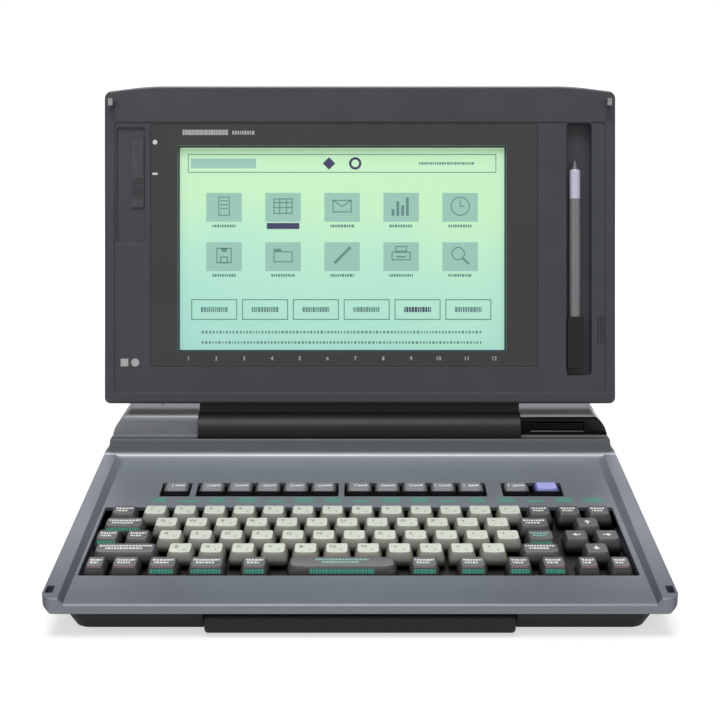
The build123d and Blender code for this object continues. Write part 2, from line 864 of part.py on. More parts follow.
with BuildPart() as upper_block:
    extrude(shoulder_section(shoulder_back), amount=-(housing_rear - shoulder_back))
    rounded = upper_block.edges().filter_by(Axis.X).group_by(Axis.Z)[-1]
    fillet(rounded.sort_by(Axis.Y)[0], shoulder_front_round)
    fillet(upper_block.edges().filter_by(Axis.X).group_by(Axis.Z)[-1].sort_by(Axis.Y)[-1], housing_rear_round)

with BuildPart() as front_step:
    # the low wall that hides the lower half of the hinge barrel
    extrude(shoulder_section(ridge_back), amount=-(shoulder_back - ridge_back))
    side_profile(
        [
            (ridge_back, ridge_height - wall),
            (ridge_back, ridge_height),
            (ridge_back + step_run, step_height),
            (shoulder_back, step_height),
            (shoulder_back, ridge_height - wall),
        ],
        half_width,
        mode=Mode.INTERSECT,
    )
    lip = front_step.edges().filter_by(Axis.X)
    lip = lip.filter_by_position(Axis.Z, step_height - 0.1, step_height + 0.1)
    fillet(lip.sort_by(Axis.Y)[0], 1.0)

with BuildPart() as rear_housing:
    slab((-half_width, half_width), (back(deck_depth), back(housing_rear)), (split_height, housing_height))
    fillet(rear_housing.edges().filter_by(Axis.Z).group_by(Axis.Y)[-1], rear_corner)
    side_profile(
        [
            (deck_depth, split_height),
            (deck_depth, rim_height(deck_depth)),
            (ridge_back, ridge_height),
            (housing_rear, ridge_height),
            (housing_rear, split_height),
        ],
        half_width,
        mode=Mode.INTERSECT,
    )
    with BuildSketch(Plane.XZ.offset(-back(deck_depth))):
        with BuildLine():
            Polyline(skirt_section + [(-x, z) for x, z in reversed(skirt_section)], close=True)
        make_face()
    extrude(amount=-(housing_rear - deck_depth), mode=Mode.INTERSECT)
    ridge_edges = rear_housing.edges().filter_by(Axis.X)
    ridge_edges = ridge_edges.filter_by_position(Axis.Y, back(deck_depth) - 0.1, back(deck_depth) + 0.1)
    fillet(ridge_edges.group_by(Axis.Z)[-1], 2.6)
    add(upper_block.part)
    add(front_step.part)
    # the hollow: low under the hinge barrel, high behind it and in the left shoulder
    deep_half = half_width - 2 * wall
    slab(
        (-deep_half, deep_half),
        (back(deck_depth + wall), back(housing_rear - wall)),
        (split_height + wall, low_roof),
        mode=Mode.SUBTRACT,
    )
    barrel_rear = hinge_back + barrel_radius + 2.0
    high_near = barrel_rear + wall
    for half, low, high in (
        (shoulder_half - 3.2 * wall, low_roof, housing_under - 3.5),
        (shoulder_top_half - wall - 1.0, low_roof, housing_under),
    ):
        slab((-half, half), (back(high_near), back(housing_rear - wall)), (low, high), mode=Mode.SUBTRACT)
    slab(
        (-(shoulder_top_half - wall - 1.0), barrel_left - side_slip - hinge_pin_hold),
        (back(shoulder_back + wall), back(high_near + 1)),
        (low_roof, housing_under - wall),
        mode=Mode.SUBTRACT,
    )
    slab(
        (-window_half, window_half),
        (back(deck_depth - 1), back(housing_rear - tray_front_inset_top - wall)),
        (split_height, split_height + wall),
        mode=Mode.SUBTRACT,
    )
    # way through for the boards' leads at the front
    slab(
        (-screw_x + 8, screw_x - 8),
        (back(deck_depth - 1), back(deck_depth + wall + 1)),
        (split_height, split_height + 18),
        mode=Mode.SUBTRACT,
    )
    # the channel that the hinge barrel turns in
    channel = (barrel_left - side_slip, barrel_right + side_slip)
    disc(
        (hinge_y, hinge_height),
        barrel_radius + side_slip,
        channel,
        plane=Plane.YZ,
        mode=Mode.SUBTRACT,
    )
    slab(
        channel,
        (hinge_y - barrel_radius - side_slip, back(barrel_rear)),
        (hinge_height, housing_height + 1),
        mode=Mode.SUBTRACT,
    )
    slab(
        channel,
        (back(shoulder_back - 1), hinge_y),
        (ridge_height, housing_height + 1),
        mode=Mode.SUBTRACT,
    )
    # the right shoulder's front is open for the card block
    slab(
        (channel[1], half_width + 1),
        (back(shoulder_back), back(card_block_rear)),
        (ridge_height, card_block_high),
        mode=Mode.SUBTRACT,
    )
    # window for the disk drive in the right side
    slab(
        (deep_half - 1, half_width + 1),
        (back(drive_near + 1 - slip), back(drive_far - 1 + slip)),
        (drive_low - slip, drive_high + slip),
        mode=Mode.SUBTRACT,
    )
    # roof openings: the printer cover with its ledge, the exit slot, the feed slot and the support's recess
    slab(
        (cover_left - ledge_width, cover_right + ledge_width),
        (back(cover_near - ledge_width), back(cover_far + ledge_width)),
        (housing_under - ledge_thickness, housing_under + ledge_thickness),
    )
    slab(
        (support_left - ledge_width, support_right + ledge_width),
        (back(support_near - ledge_width), back(support_far + ledge_width)),
        (housing_under - ledge_thickness, housing_under + ledge_thickness),
    )
    slab(
        (cover_left + ledge_width, cover_right - ledge_width),
        (back(cover_near + ledge_width), back(cover_far - ledge_width)),
        (housing_under - 2 * ledge_thickness, housing_height + 1),
        mode=Mode.SUBTRACT,
    )
    slab(
        (cover_left, cover_right),
        (back(cover_near), back(cover_far)),
        (housing_under, housing_height + 1),
        mode=Mode.SUBTRACT,
    )
    slab(
        (support_left, support_right),
        (back(support_near), back(support_far)),
        (housing_under, housing_height + 1),
        mode=Mode.SUBTRACT,
    )
    for near, far in ((exit_near, exit_far), (feed_near, feed_far)):
        slab(
            (printer_middle - roller_length / 2, printer_middle + roller_length / 2),
            (back(near), back(far)),
            (housing_under - 2 * ledge_thickness, housing_height + 1),
            mode=Mode.SUBTRACT,
        )
    # bores for the pivots of the cover and the support
    flap_axis_height = housing_height - 0.1 - flap_pin_radius * 1.4
    for left, right, at in (
        (cover_left, cover_right, cover_far - 1.6),
        (support_left, support_right, support_near + 1.6),
    ):
        disc(
            (back(at), flap_axis_height),
            flap_pin_radius + fit,
            (left - 2.2, right + 2.2),
            plane=Plane.YZ,
            mode=Mode.SUBTRACT,
        )
    # bore for the left hinge pin
    disc(
        (hinge_y, hinge_height),
        hinge_pin_radius + fit / 2,
        (barrel_left - side_slip - hinge_pin_hold - 1, barrel_left),
        plane=Plane.YZ,
        mode=Mode.SUBTRACT,
    )
    # the window for the power inlet
    slab(
        (inlet_left, inlet_right),
        (back(housing_rear - wall - 1), back(housing_rear + 1)),
        (inlet_low, inlet_high),
        mode=Mode.SUBTRACT,
    )
    # screw posts, and posts that the printer hangs from
    discs(ridge_screws, boss_radius, (split_height, low_roof + 0.5))
    disc(rear_left_screw, boss_radius, (split_height, housing_under + 0.5))
    disc(rear_mid_screw, boss_radius, (split_height, chassis_low - 1.5))
    slab(
        (rear_mid_screw[0] - 1.2, rear_mid_screw[0] + 1.2),
        (rear_mid_screw[1], back(housing_rear - wall / 2)),
        (split_height + wall, chassis_low - 1.5),
    )
    discs(
        ridge_screws + [rear_left_screw, rear_mid_screw],
        screw_shank_radius + fit,
        (split_height, screw_end + slip),
        mode=Mode.SUBTRACT,
    )
    discs(chassis_posts, 3.2, (chassis_top, housing_under))

# ---------------------------------------------------------------- feet, screws and the carry handle

with BuildPart() as rubber_feet:
    discs(foot_places, foot_radius, (0, foot_height))
    chamfer(rubber_feet.edges().group_by(Axis.Z)[0], 0.8)

with BuildPart() as case_screws:
    discs(case_screw_places, screw_head_radius, (screw_seat - screw_head_height, screw_seat))
    discs(case_screw_places, screw_shank_radius, (screw_seat, screw_end))
    with BuildSketch(Plane.XY.offset(screw_seat - screw_head_height)):
        with Locations(*case_screw_places):
            Rectangle(3.4, 0.8)
            Rectangle(0.8, 3.4)
    extrude(amount=1.2, mode=Mode.SUBTRACT)

with BuildPart() as carry_handle:
    handle_y = (back(handle_front), back(handle_front + handle_depth))
    slab((-handle_half, handle_half), handle_y, (handle_low, handle_high))
    fillet(carry_handle.edges().filter_by(Axis.X).group_by(Axis.Y)[0], 2.6)
    fillet(carry_handle.edges().filter_by(Axis.Z).group_by(Axis.Y)[0], 2.0)
    for middle in strap_hole:
        half = (strap_outer - strap_inner) / 2
        strap = (strap_low, strap_low + strap_thickness)
        slab((middle - half, middle + half), (back(handle_front + handle_depth - 2), back(strap_end)), strap)
        stop_half = half + strap_stop_width
        stop_y = (back(strap_end - strap_stop_length), back(strap_end))
        slab((middle - stop_half, middle + stop_half), stop_y, strap)

# ---------------------------------------------------------------- boards, speaker, disk drive and card slot

board_top = board_low + board_thickness
with BuildPart() as main_board:
    slab((board_left, board_right), (back(board_near), back(board_far)), (board_low, board_top))
    # processor, gate array and font memory, then a row of memory chips, connectors and capacitors
    board_middle = (board_left + board_right) / 2
    for dx, y, side in ((-30.0, 130.0, 28.0), (20.0, 130.0, 24.0), (64.0, 126.0, 18.0)):
        x = board_middle + dx
        chip_y = (back(y - side / 2), back(y + side / 2))
        slab((x - side / 2, x + side / 2), chip_y, (board_top, board_top + 2.6))
    with Locations((board_middle, back(board_far - 32.0), board_top + 1.3)):
        with GridLocations(18.0, 0, 8, 1):
            Box(10.0, 22.0, 2.6)
    with Locations((board_middle, back(board_far - 10.0), board_top + 4.0)):
        with GridLocations(60.0, 0, 2, 1):
            Box(34.0, 6.0, 8.0)
    capacitor_places = [(board_middle + dx, back(board_far - 12.0)) for dx in (-78.0, -66.0, 72.0, 84.0)]
    discs(capacitor_places, 4.0, (board_top, board_top + 11.0))

supply_top = supply_board_low + board_thickness
with BuildPart() as power_supply:
    slab((supply_left, supply_right), (back(supply_near), back(supply_far)), (supply_board_low, supply_top))
    # transformer, capacitors and the cooling plate, spread over the board's width
    width = supply_right - supply_left
    core = (supply_left + 0.1 * width, supply_left + 0.43 * width)
    slab(core, (back(supply_near + 12.0), back(supply_near + 54.0)), (supply_top, 30.5))
    winding_y = (back(supply_near + 20.0), back(supply_near + 46.0))
    slab((core[0] - 4.0, core[1] + 4.0), winding_y, (supply_top, 26.0))
    large_x, small_x = supply_left + 0.6 * width, supply_left + 0.77 * width
    discs([(large_x, back(supply_near + dy)) for dy in (22.0, 44.0)], 9.0, (supply_top, 30.0))
    discs([(small_x, back(supply_near + dy)) for dy in (16.0, 30.0)], 5.0, (supply_top, 22.0))
    plate = supply_right - 15.0
    slab((plate - 1.0, plate + 1.0), (back(supply_near + 10.0), back(supply_near + 72.0)), (supply_top, 28.0))
    for index in range(5):
        near = supply_near + 12.0 + 13.0 * index
        slab((plate, plate + 9.0), (back(near), back(near + 1.6)), (supply_top, 28.0))
    slab((core[0], core[0] + 26.0), (back(supply_near + 62.0), back(supply_near + 78.0)), (supply_top, 22.0))

with BuildPart() as speaker:
    disc(speaker_place, speaker_radius, (floor_top, floor_top + 3.0))
    disc(speaker_place, speaker_radius - 4.0, (floor_top + 3.0, floor_top + 7.0))
    disc(speaker_place, speaker_radius * 0.55, (floor_top + 7.0, floor_top + 14.0))

with BuildPart() as floppy_drive:
    slab((drive_left, drive_right), (back(drive_near), back(drive_far)), (drive_low, drive_high))
    bezel_y = (back(drive_near + 1), back(drive_far - 1))
    slab((drive_right, drive_bezel_face), bezel_y, (drive_low, drive_high))
    # the disk's slot, with a finger notch in the bezel, and the button's channel
    slab(
        (drive_left + 24.0, drive_bezel_face + 1),
        (back(disk_slot_near), back(disk_slot_far)),
        (disk_slot_low, disk_slot_high),
        mode=Mode.SUBTRACT,
    )
    middle = (disk_slot_near + disk_slot_far) / 2
    slab(
        (drive_right + 1.2, drive_bezel_face + 1),
        (back(middle - 12.0), back(middle + 12.0)),
        (disk_slot_low - 3.0, disk_slot_high + 2.0),
        mode=Mode.SUBTRACT,
    )
    slab(
        (drive_right - 9.0, drive_bezel_face + 1),
        (back(button_near - slip), back(button_far + slip)),
        (button_low - slip, button_high + slip),
        mode=Mode.SUBTRACT,
    )

with BuildPart() as eject_button:
    slab((drive_right - 5.4, button_face), (back(button_near), back(button_far)), (button_low, button_high))
    fillet(eject_button.edges().group_by(Axis.X)[-1], 0.5)

with BuildPart() as card_slot:
    # the black block that fills the right shoulder, following its rounded side, and the card cage behind it
    add(upper_block.part)
    slab(
        (card_block_left, half_width),
        (back(shoulder_back), back(card_block_rear)),
        (card_block_low, card_block_high),
        mode=Mode.INTERSECT,
    )
    slab(
        (card_left - 2.0, card_right + 1.5),
        (back(card_block_rear - 2), back(shoulder_back + card_depth)),
        (card_low - 2.0, card_high + 2.0),
    )
    slab(
        (card_left, card_right),
        (back(shoulder_back - 1), back(shoulder_back + card_depth - 2)),
        (card_low, card_high),
        mode=Mode.SUBTRACT,
    )
    # a bevelled mouth above and below the slot
    mouth = card_slot.faces().filter_by(Axis.Y).sort_by(Axis.Y)[0].inner_wires().edges()
    chamfer(mouth.filter_by(Axis.X), card_mouth_bevel)
    # flap pivots, and the bore that holds the right hinge pin
    disc(
        (back(shoulder_back + 2.2), card_high - 0.9),
        0.5 + fit,
        (card_left - 1.2, card_right + 1.2),
        plane=Plane.YZ,
        mode=Mode.SUBTRACT,
    )
    disc(
        (hinge_y, hinge_height),
        hinge_pin_radius + fit / 2,
        (card_block_left - 1, card_block_left + hinge_pin_hold),
        plane=Plane.YZ,
        mode=Mode.SUBTRACT,
    )

flap_axis = (back(shoulder_back + 2.2), card_high - 0.9)
with BuildPart() as card_flap:
    slab(
        (card_left + flap_slip, card_right - flap_slip),
        (flap_axis[0] - flap_thickness / 2, flap_axis[0] + flap_thickness / 2),
        (card_low + flap_slip, flap_axis[1]),
    )
    disc(flap_axis, flap_thickness / 2, (card_left + flap_slip, card_right - flap_slip), plane=Plane.YZ)
    disc(flap_axis, 0.5, (card_left - 1.0, card_right + 1.0), plane=Plane.YZ)

with BuildPart() as power_inlet:
    inlet_span = (back(housing_rear - inlet_length), back(housing_rear - 0.6))
    slab((inlet_left, inlet_right), inlet_span, (inlet_low, inlet_high))
    middle_x = (inlet_left + inlet_right) / 2
    middle_z = (inlet_low + inlet_high) / 2
    recess = (back(housing_rear - 13.0), back(housing_rear))
    with BuildSketch(Plane.XZ.offset(-recess[0])):
        with Locations((middle_x, middle_z)):
            SlotOverall(inlet_right - inlet_left - 7.0, inlet_high - inlet_low - 8.0)
    extrude(amount=-(recess[1] - recess[0]), mode=Mode.SUBTRACT)
    with BuildSketch(Plane.XZ.offset(-recess[0] + 1)):
        with Locations((middle_x, middle_z)):
            with GridLocations(8.6, 0, 2, 1):
                Circle(1.2)
    extrude(amount=-8.0)

# ---------------------------------------------------------------- the printer

side_plates = [(printer_left, printer_left + chassis_plate), (printer_right - chassis_plate, printer_right)]
platen_axis = (back(platen_back), platen_height)
idler_distance = platen_gear_radius + idler_radius + gear_gap
pinion_distance = idler_radius + pinion_radius + gear_gap
idler_axis = (
    platen_axis[0] + idler_distance * cos(radians(idler_angle)),
    platen_axis[1] + idler_distance * sin(radians(idler_angle)),
)
pinion_axis = (
    idler_axis[0] + pinion_distance * cos(radians(pinion_angle)),
    idler_axis[1] + pinion_distance * sin(radians(pinion_angle)),
)
pinch_axis = (platen_axis[0], platen_axis[1] - platen_radius - pinch_radius - slip)
rod_axis = (back(rod_back), rod_height)
pulley_y = back(pulley_back)

with BuildPart() as printer_chassis:
    slab((plate_left, plate_right), (back(chassis_near), back(chassis_far)), (chassis_low, chassis_top))
    for side in side_plates:
        slab(side, (back(rod_back - 10.0), back(chassis_far)), (chassis_top, platen_height + 10.0))
    # notch round the case's rear left screw post
    x, y = rear_left_screw
    notch_x = (plate_left - 1, x + boss_radius + 1)
    slab(notch_x, (y - 5.0, y + 5.0), (chassis_low, chassis_top), mode=Mode.SUBTRACT)
    # bores for the platen, the guide rod, the pressure rollers and the feed motor's shaft
    through = (printer_left - 1, printer_right + 1)
    disc(platen_axis, platen_shaft_radius + fit, through, plane=Plane.YZ, mode=Mode.SUBTRACT)
    disc(rod_axis, rod_radius + fit / 2, through, plane=Plane.YZ, mode=Mode.SUBTRACT)
    disc(pinch_axis, 1.2 + fit, through, plane=Plane.YZ, mode=Mode.SUBTRACT)
    disc(pinion_axis, 1.5, (printer_middle, printer_right + 1), plane=Plane.YZ, mode=Mode.SUBTRACT)
    disc((pulley_left, pulley_y), 1.6, (chassis_low, chassis_top), mode=Mode.SUBTRACT)
    # axles of the idler gear and the tension pulley
    disc(idler_axis, 1.5, (printer_right - chassis_plate, gear_far + 0.8), plane=Plane.YZ)
    disc((pulley_right, pulley_y), 1.5, (chassis_top - 0.5, belt_high + 2.0))

with BuildPart() as guide_rod:
    disc(rod_axis, rod_radius, (printer_left - 1.0, printer_right + 1.0), plane=Plane.YZ)
    chamfer(guide_rod.edges(), 0.4)

carriage_near, carriage_far = rod_back - 6.5, rod_back + 11.0
belt_inner = pulley_radius + slip
with BuildPart() as carriage:
    middle = printer_middle
    slab(
        (middle - carriage_half, middle + carriage_half),
        (back(carriage_near), back(carriage_far)),
        (chassis_top + slip, platen_height),
    )
    # the printing head on its arm, and the clamp that takes the belt
    slab(
        (middle - 5.0, middle + 5.0),
        (back(carriage_far), platen_axis[0] - platen_radius - 0.7),
        (platen_height - 5.0, platen_height),
    )
    slab(
        (middle - 5.0, middle + 5.0),
        (pulley_y + belt_inner + belt_thickness + slip, back(carriage_near)),
        (belt_low, belt_high),
    )
    disc(
        rod_axis,
        rod_radius + fit,
        (middle - carriage_half - 1, middle + carriage_half + 1),
        plane=Plane.YZ,
        mode=Mode.SUBTRACT,
    )
    # spools' drive pegs, which stand up into the ribbon cassette
    knobs = [(middle + side * 14.0, back(rod_back)) for side in (-1, 1)]
    discs(knobs, 2.0, (platen_height, platen_height + 5.0))

cassette_low = platen_height
with BuildPart() as ribbon_cassette:
    middle = printer_middle
    cassette_span = (back(rod_back - 9.5), back(rod_back + 10.5))
    nose_span = (back(rod_back + 9.5), back(rod_back + 18.0))
    slab((middle - 29.0, middle + 29.0), cassette_span, (cassette_low, cassette_low + 9.0), corner=4.0)
    slab((middle - 8.0, middle + 8.0), nose_span, (cassette_low + 1.0, cassette_low + 8.0))
    discs(
        [(middle + side * 14.0, back(rod_back)) for side in (-1, 1)],
        2.0 + slip,
        (cassette_low, cassette_low + 9.0),
        mode=Mode.SUBTRACT,
    )

with BuildPart() as drive_belt:
    # a loop round both pulleys
    for radius, mode in ((belt_inner + belt_thickness, Mode.ADD), (belt_inner, Mode.SUBTRACT)):
        with BuildSketch(Plane.XY.offset(belt_low)) as loop:
            with Locations(((pulley_left + pulley_right) / 2, pulley_y)):
                SlotCenterToCenter(pulley_right - pulley_left, 2 * radius)
        extrude(loop.sketch, amount=belt_high - belt_low, mode=mode)

with BuildPart() as drive_pulley:
    place = (pulley_left, pulley_y)
    toothed_wheel(Plane.XY, place, pulley_radius, (belt_low - 0.4, belt_high + 0.4), 16, 0.6)
    disc(place, pulley_radius + 1.0, (belt_high + 0.4, belt_high + 1.2))
    disc(place, 1.0, (chassis_low - 5.0, belt_low))

with BuildPart() as tension_pulley:
    place = (pulley_right, pulley_y)
    toothed_wheel(Plane.XY, place, pulley_radius, (belt_low - 0.4, belt_high + 0.4), 16, 0.6)
    disc(place, pulley_radius + 1.0, (belt_high + 0.4, belt_high + 1.2))
    disc(place, 1.5 + fit, (belt_low - 1, belt_high + 2), mode=Mode.SUBTRACT)

with BuildPart() as stepping_motors:
    # the carriage motor under the chassis, and the feed motor against the right side plate
    disc((pulley_left, pulley_y), motor_radius, (chassis_low - motor_length, chassis_low))
    disc((pulley_left, pulley_y), 1.0 + slip, (chassis_low - 6.0, chassis_low), mode=Mode.SUBTRACT)
    inner_face = printer_right - chassis_plate
    disc(pinion_axis, motor_radius, (inner_face - motor_length, inner_face), plane=Plane.YZ)
    disc(pinion_axis, 1.0 + slip, (inner_face - 6.0, inner_face), plane=Plane.YZ, mode=Mode.SUBTRACT)

with BuildPart() as platen_roller:
    disc(
        platen_axis,
        platen_radius,
        (printer_middle - roller_length / 2, printer_middle + roller_length / 2),
        plane=Plane.YZ,
    )
    disc(platen_axis, platen_shaft_radius, (printer_left - 4.0, gear_far + 1.0), plane=Plane.YZ)
    toothed_wheel(Plane.YZ, platen_axis, platen_gear_radius, (gear_near, gear_far), 44, 0.9)

with BuildPart() as idler_gear:
    toothed_wheel(Plane.YZ, idler_axis, idler_radius, (gear_near, gear_far), 26, 0.9)
    disc(idler_axis, 1.5 + fit, (gear_near - 1, gear_far + 1), plane=Plane.YZ, mode=Mode.SUBTRACT)

with BuildPart() as feed_pinion:
    toothed_wheel(Plane.YZ, pinion_axis, pinion_radius, (gear_near, gear_far), 14, 0.9)
    disc(pinion_axis, 1.0, (printer_right - chassis_plate - 5.0, gear_near), plane=Plane.YZ)

with BuildPart() as pressure_rollers:
    disc(pinch_axis, 1.2, (printer_left - 0.8, printer_right + 0.8), plane=Plane.YZ)
    for offset in (-chassis_inner * 0.623, 0.0, chassis_inner * 0.623):
        at = printer_middle + offset
        disc(pinch_axis, pinch_radius, (at - 15.0, at + 15.0), plane=Plane.YZ)

# ---------------------------------------------------------------- covers in the roof

cover_axis = (back(cover_far - 1.6), flap_axis_height)
support_axis = (back(support_near + 1.6), flap_axis_height)
cover_slip = 0.4


def roof_flap(x, near, far, axis, finger):
    """A flat cover that lies flush in the roof, rounded round its pivot at one edge."""
    low, high = housing_under + 0.1, housing_height - 0.1
    round_radius = (high - low) / 2
    middle_height = (high + low) / 2
    at_far = abs(axis[0] - back(far)) < abs(axis[0] - back(near))
    span = (back(near) + cover_slip, axis[0]) if at_far else (axis[0], back(far) - cover_slip)
    with BuildPart() as flap:
        slab(x, span, (low, high))
        disc((axis[0], middle_height), round_radius, x, plane=Plane.YZ)
        disc(axis, flap_pin_radius, (x[0] - 1.6, x[1] + 1.6), plane=Plane.YZ)
        # a finger dish at the free edge
        edge = span[0] if at_far else span[1]
        with BuildSketch(Plane.XY.offset(high - finger)):
            with Locations(((x[0] + x[1]) / 2, edge)):
                SlotOverall(28.0, 8.0)
        extrude(amount=finger + 1, mode=Mode.SUBTRACT)
    return flap.part


cover_flap = roof_flap(
    (cover_left + cover_slip, cover_right - cover_slip), cover_near, cover_far, cover_axis, 1.0
)
support_flap = roof_flap(
    (support_left + cover_slip, support_right - cover_slip), support_near, support_far, support_axis, 1.0
)
with BuildPart() as printer_cover:
    add(cover_flap)
with BuildPart() as paper_support:
    add(support_flap)

# ---------------------------------------------------------------- the lid

lid_back = -lid_thickness
shell_split = -lid_front_half
shoulder_v = lid_height - lid_shoulder_drop
groove_left, groove_right = half_width - 31.0, half_width - 14.0
groove_bottom, groove_top = 18.8, lid_height - 24.9
groove_depth = 9.0
stylus_x = half_width - 24.7
stylus_radius = 3.8
stylus_low, stylus_high = 30.0, lid_height - 49.7
stylus_axis_depth = -4.7
holder_left, holder_right = groove_left + 0.8, groove_right - 5.2
holder_bottom, holder_top = 23.5, 58.5
recess_left, recess_right = 6.0 - half_width, 25.4 - half_width
recess_bottom, recess_top = lid_height - 105.7, lid_height - 27.7
recess_depth = 1.5
knob_left, knob_right = 15.6 - half_width, 24.2 - half_width
knob_bottom, knob_top = lid_height - 81.7, lid_height - 34.7
knob_travel = 15.0
knob_thickness = 1.2
bezel_front_wall = 5.0
lid_screw_rows = (12.0, 0.468 * lid_height, lid_height - 19.7)
lid_screws_places = [(side * (half_width - 8.5), v) for side in (-1, 1) for v in lid_screw_rows]
lid_boss_radius = 3.4
lid_screw_shank = 1.2
lid_screw_head = 2.4


def lid_outline(margin=0.0, low=0.0):
    """The lid's outline seen square on, drawn in from its true size by the margin."""
    half = lid_half - margin
    top = lid_height - margin
    drop = shoulder_v - margin
    radius = max(lid_top_corner - margin, 1.0)
    with BuildLine() as outline:
        Polyline([(-half, drop - radius), (-half, low + margin), (half, low + margin), (half, drop - radius)])
        for side in (-1, 1):
            corner = (side * (half - radius * 0.3), drop - radius * 0.3)
            ThreePointArc((side * half, drop - radius), corner, (side * (half - radius), drop))
            Spline(
                [(side * (half - radius), drop), (side * lid_flat_half, top)],
                tangents=[(-side, 0.13), (-side, 0)],
            )
        Line((-lid_flat_half, top), (lid_flat_half, top))
    return outline.line


outer_line = lid_outline()
inner_line = lid_outline(lid_wall)

with BuildPart() as lid_bezel:
    with BuildSketch(lid_face):
        with BuildLine():
            add(outer_line)
        make_face()
    extrude(amount=-lid_front_half)
    straight = lid_bezel.edges().filter_by(GeomType.LINE)
    corners = straight.filter_by(lambda edge: abs(edge.length - lid_front_half) < 0.01)
    fillet(corners.sort_by(Axis.Z)[:2], lid_bottom_corner)
    front_face = lid_bezel.faces().sort_by(Axis(lid_face.origin, lid_face.z_dir))[-1]
    chamfer(front_face.outer_wire().edges(), 1.2)
    # hollow from behind
    with BuildSketch(lid_face.offset(shell_split)):
        with BuildLine():
            add(inner_line)
        make_face()
    extrude(amount=lid_front_half - bezel_front_wall, mode=Mode.SUBTRACT)
    # solid round the stylus groove
    slab(
        (groove_left - lid_wall, groove_right + lid_wall),
        (groove_bottom - lid_wall, groove_top + lid_wall),
        (-groove_depth - lid_wall, -bezel_front_wall),
        plane=lid_face,
    )
    # bosses for the screws
    discs(lid_screws_places, lid_boss_radius, (shell_split, -bezel_front_wall), plane=lid_face)
    screw_hole = (shell_split, -bezel_front_wall + 1)
    discs(lid_screws_places, lid_screw_shank + fit, screw_hole, lid_face, Mode.SUBTRACT)
    # the sunk field below the top band
    slab(
        (-half_width + 4.5, half_width - 4.5),
        (7.0, lid_height - 24.1),
        (-field_depth, 1),
        plane=lid_face,
        mode=Mode.SUBTRACT,
        corner=3.0,
    )
    # the panel's seat and the window behind it
    panel_seat = -field_depth - 0.1 - panel_thickness
    slab(
        (panel_left - 0.2, panel_right + 0.2),
        (panel_bottom - 0.2, panel_top + 0.2),
        (panel_seat, 1),
        plane=lid_face,
        mode=Mode.SUBTRACT,
        corner=1.2,
    )
    slab(
        (screen_left - 1.5, screen_right + 1.5),
        (screen_bottom - 1.5, screen_top + 1.5),
        (-bezel_front_wall - 1, 1),
        plane=lid_face,
        mode=Mode.SUBTRACT,
    )
    # the stylus groove, with a thumb hollow beside it
    slab(
        (groove_left, groove_right),
        (groove_bottom, groove_top),
        (-groove_depth, 1),
        plane=lid_face,
        mode=Mode.SUBTRACT,
        corner=2.4,
    )
    for index in range(3):
        x = half_width - 10.0 + 1.9 * index
        slab((x, x + 0.9), (40.0, 58.5), (-field_depth - 0.7, 1), plane=lid_face, mode=Mode.SUBTRACT)
    # the contrast slider's recess and slot
    slab(
        (recess_left, recess_right),
        (recess_bottom, recess_top),
        (-field_depth - recess_depth, 1),
        plane=lid_face,
        mode=Mode.SUBTRACT,
        corner=1.5,
    )
    slot_middle = (knob_left + knob_right) / 2
    knob_middle = (knob_bottom + knob_top) / 2
    slab(
        (slot_middle - 1.8, slot_middle + 1.8),
        (knob_middle - 6.0 - knob_travel - slip, knob_middle + 6.0 + slip),
        (-bezel_front_wall - 1, 1),
        plane=lid_face,
        mode=Mode.SUBTRACT,
    )
    # seats for the latch hooks
    for side in (-1, 1):
        slab(
            tuple(sorted((side * (hook_x - hook_thickness / 2), side * (hook_x + hook_thickness / 2)))),
            (hook_bottom, hook_top),
            (-3.0, 1),
            plane=lid_face,
            mode=Mode.SUBTRACT,
        )

with BuildPart() as lid_back_cover:
    with BuildSketch(lid_face.offset(shell_split)):
        with BuildLine():
            add(outer_line)
        make_face()
    extrude(amount=lid_back - shell_split)
    rear_depth = lid_thickness - lid_front_half
    straight = lid_back_cover.edges().filter_by(GeomType.LINE)
    corners = straight.filter_by(lambda edge: abs(edge.length - rear_depth) < 0.01)
    fillet(corners.sort_by(Axis.Z)[:2], lid_bottom_corner)
    # round the back edges: the outline is cut by a side outline and by a cross section
    lid_side = Plane(origin=lid_face.origin, x_dir=lid_face.y_dir, z_dir=(1, 0, 0))
    with BuildSketch(lid_side.offset(-lid_half)):
        with Locations((lid_height / 2, -lid_thickness / 2)):
            RectangleRounded(lid_height, lid_thickness, lid_back_round)
        with Locations((lid_height / 2, -lid_thickness / 4)):
            Rectangle(lid_height, lid_thickness / 2)
    extrude(amount=2 * lid_half, mode=Mode.INTERSECT)
    lid_cross = Plane(origin=lid_face.origin, x_dir=(1, 0, 0), z_dir=lid_face.y_dir)
    with BuildSketch(lid_cross.offset(-5)):
        with Locations((0, lid_thickness / 2)):
            RectangleRounded(2 * lid_half, lid_thickness, lid_back_round - 2.0)
        with Locations((0, lid_thickness / 4)):
            Rectangle(2 * lid_half, lid_thickness / 2)
    extrude(amount=lid_height + 10, mode=Mode.INTERSECT)
    # hollow, with a solid rolled edge at the bottom
    slab(
        (-lid_half + 3 * lid_wall, lid_half - 3 * lid_wall),
        (lid_back_round, shoulder_v - lid_wall * 2),
        (lid_back + lid_wall, shell_split),
        plane=lid_face,
        mode=Mode.SUBTRACT,
        corner=4.0,
    )
    discs(lid_screws_places, lid_boss_radius, (lid_back + lid_wall, shell_split), plane=lid_face)
    discs(lid_screws_places, lid_screw_shank + fit, (lid_back + 3.0, shell_split), lid_face, Mode.SUBTRACT)
    discs(lid_screws_places, lid_screw_head + slip, (lid_back, lid_back + 5.0), lid_face, Mode.SUBTRACT)

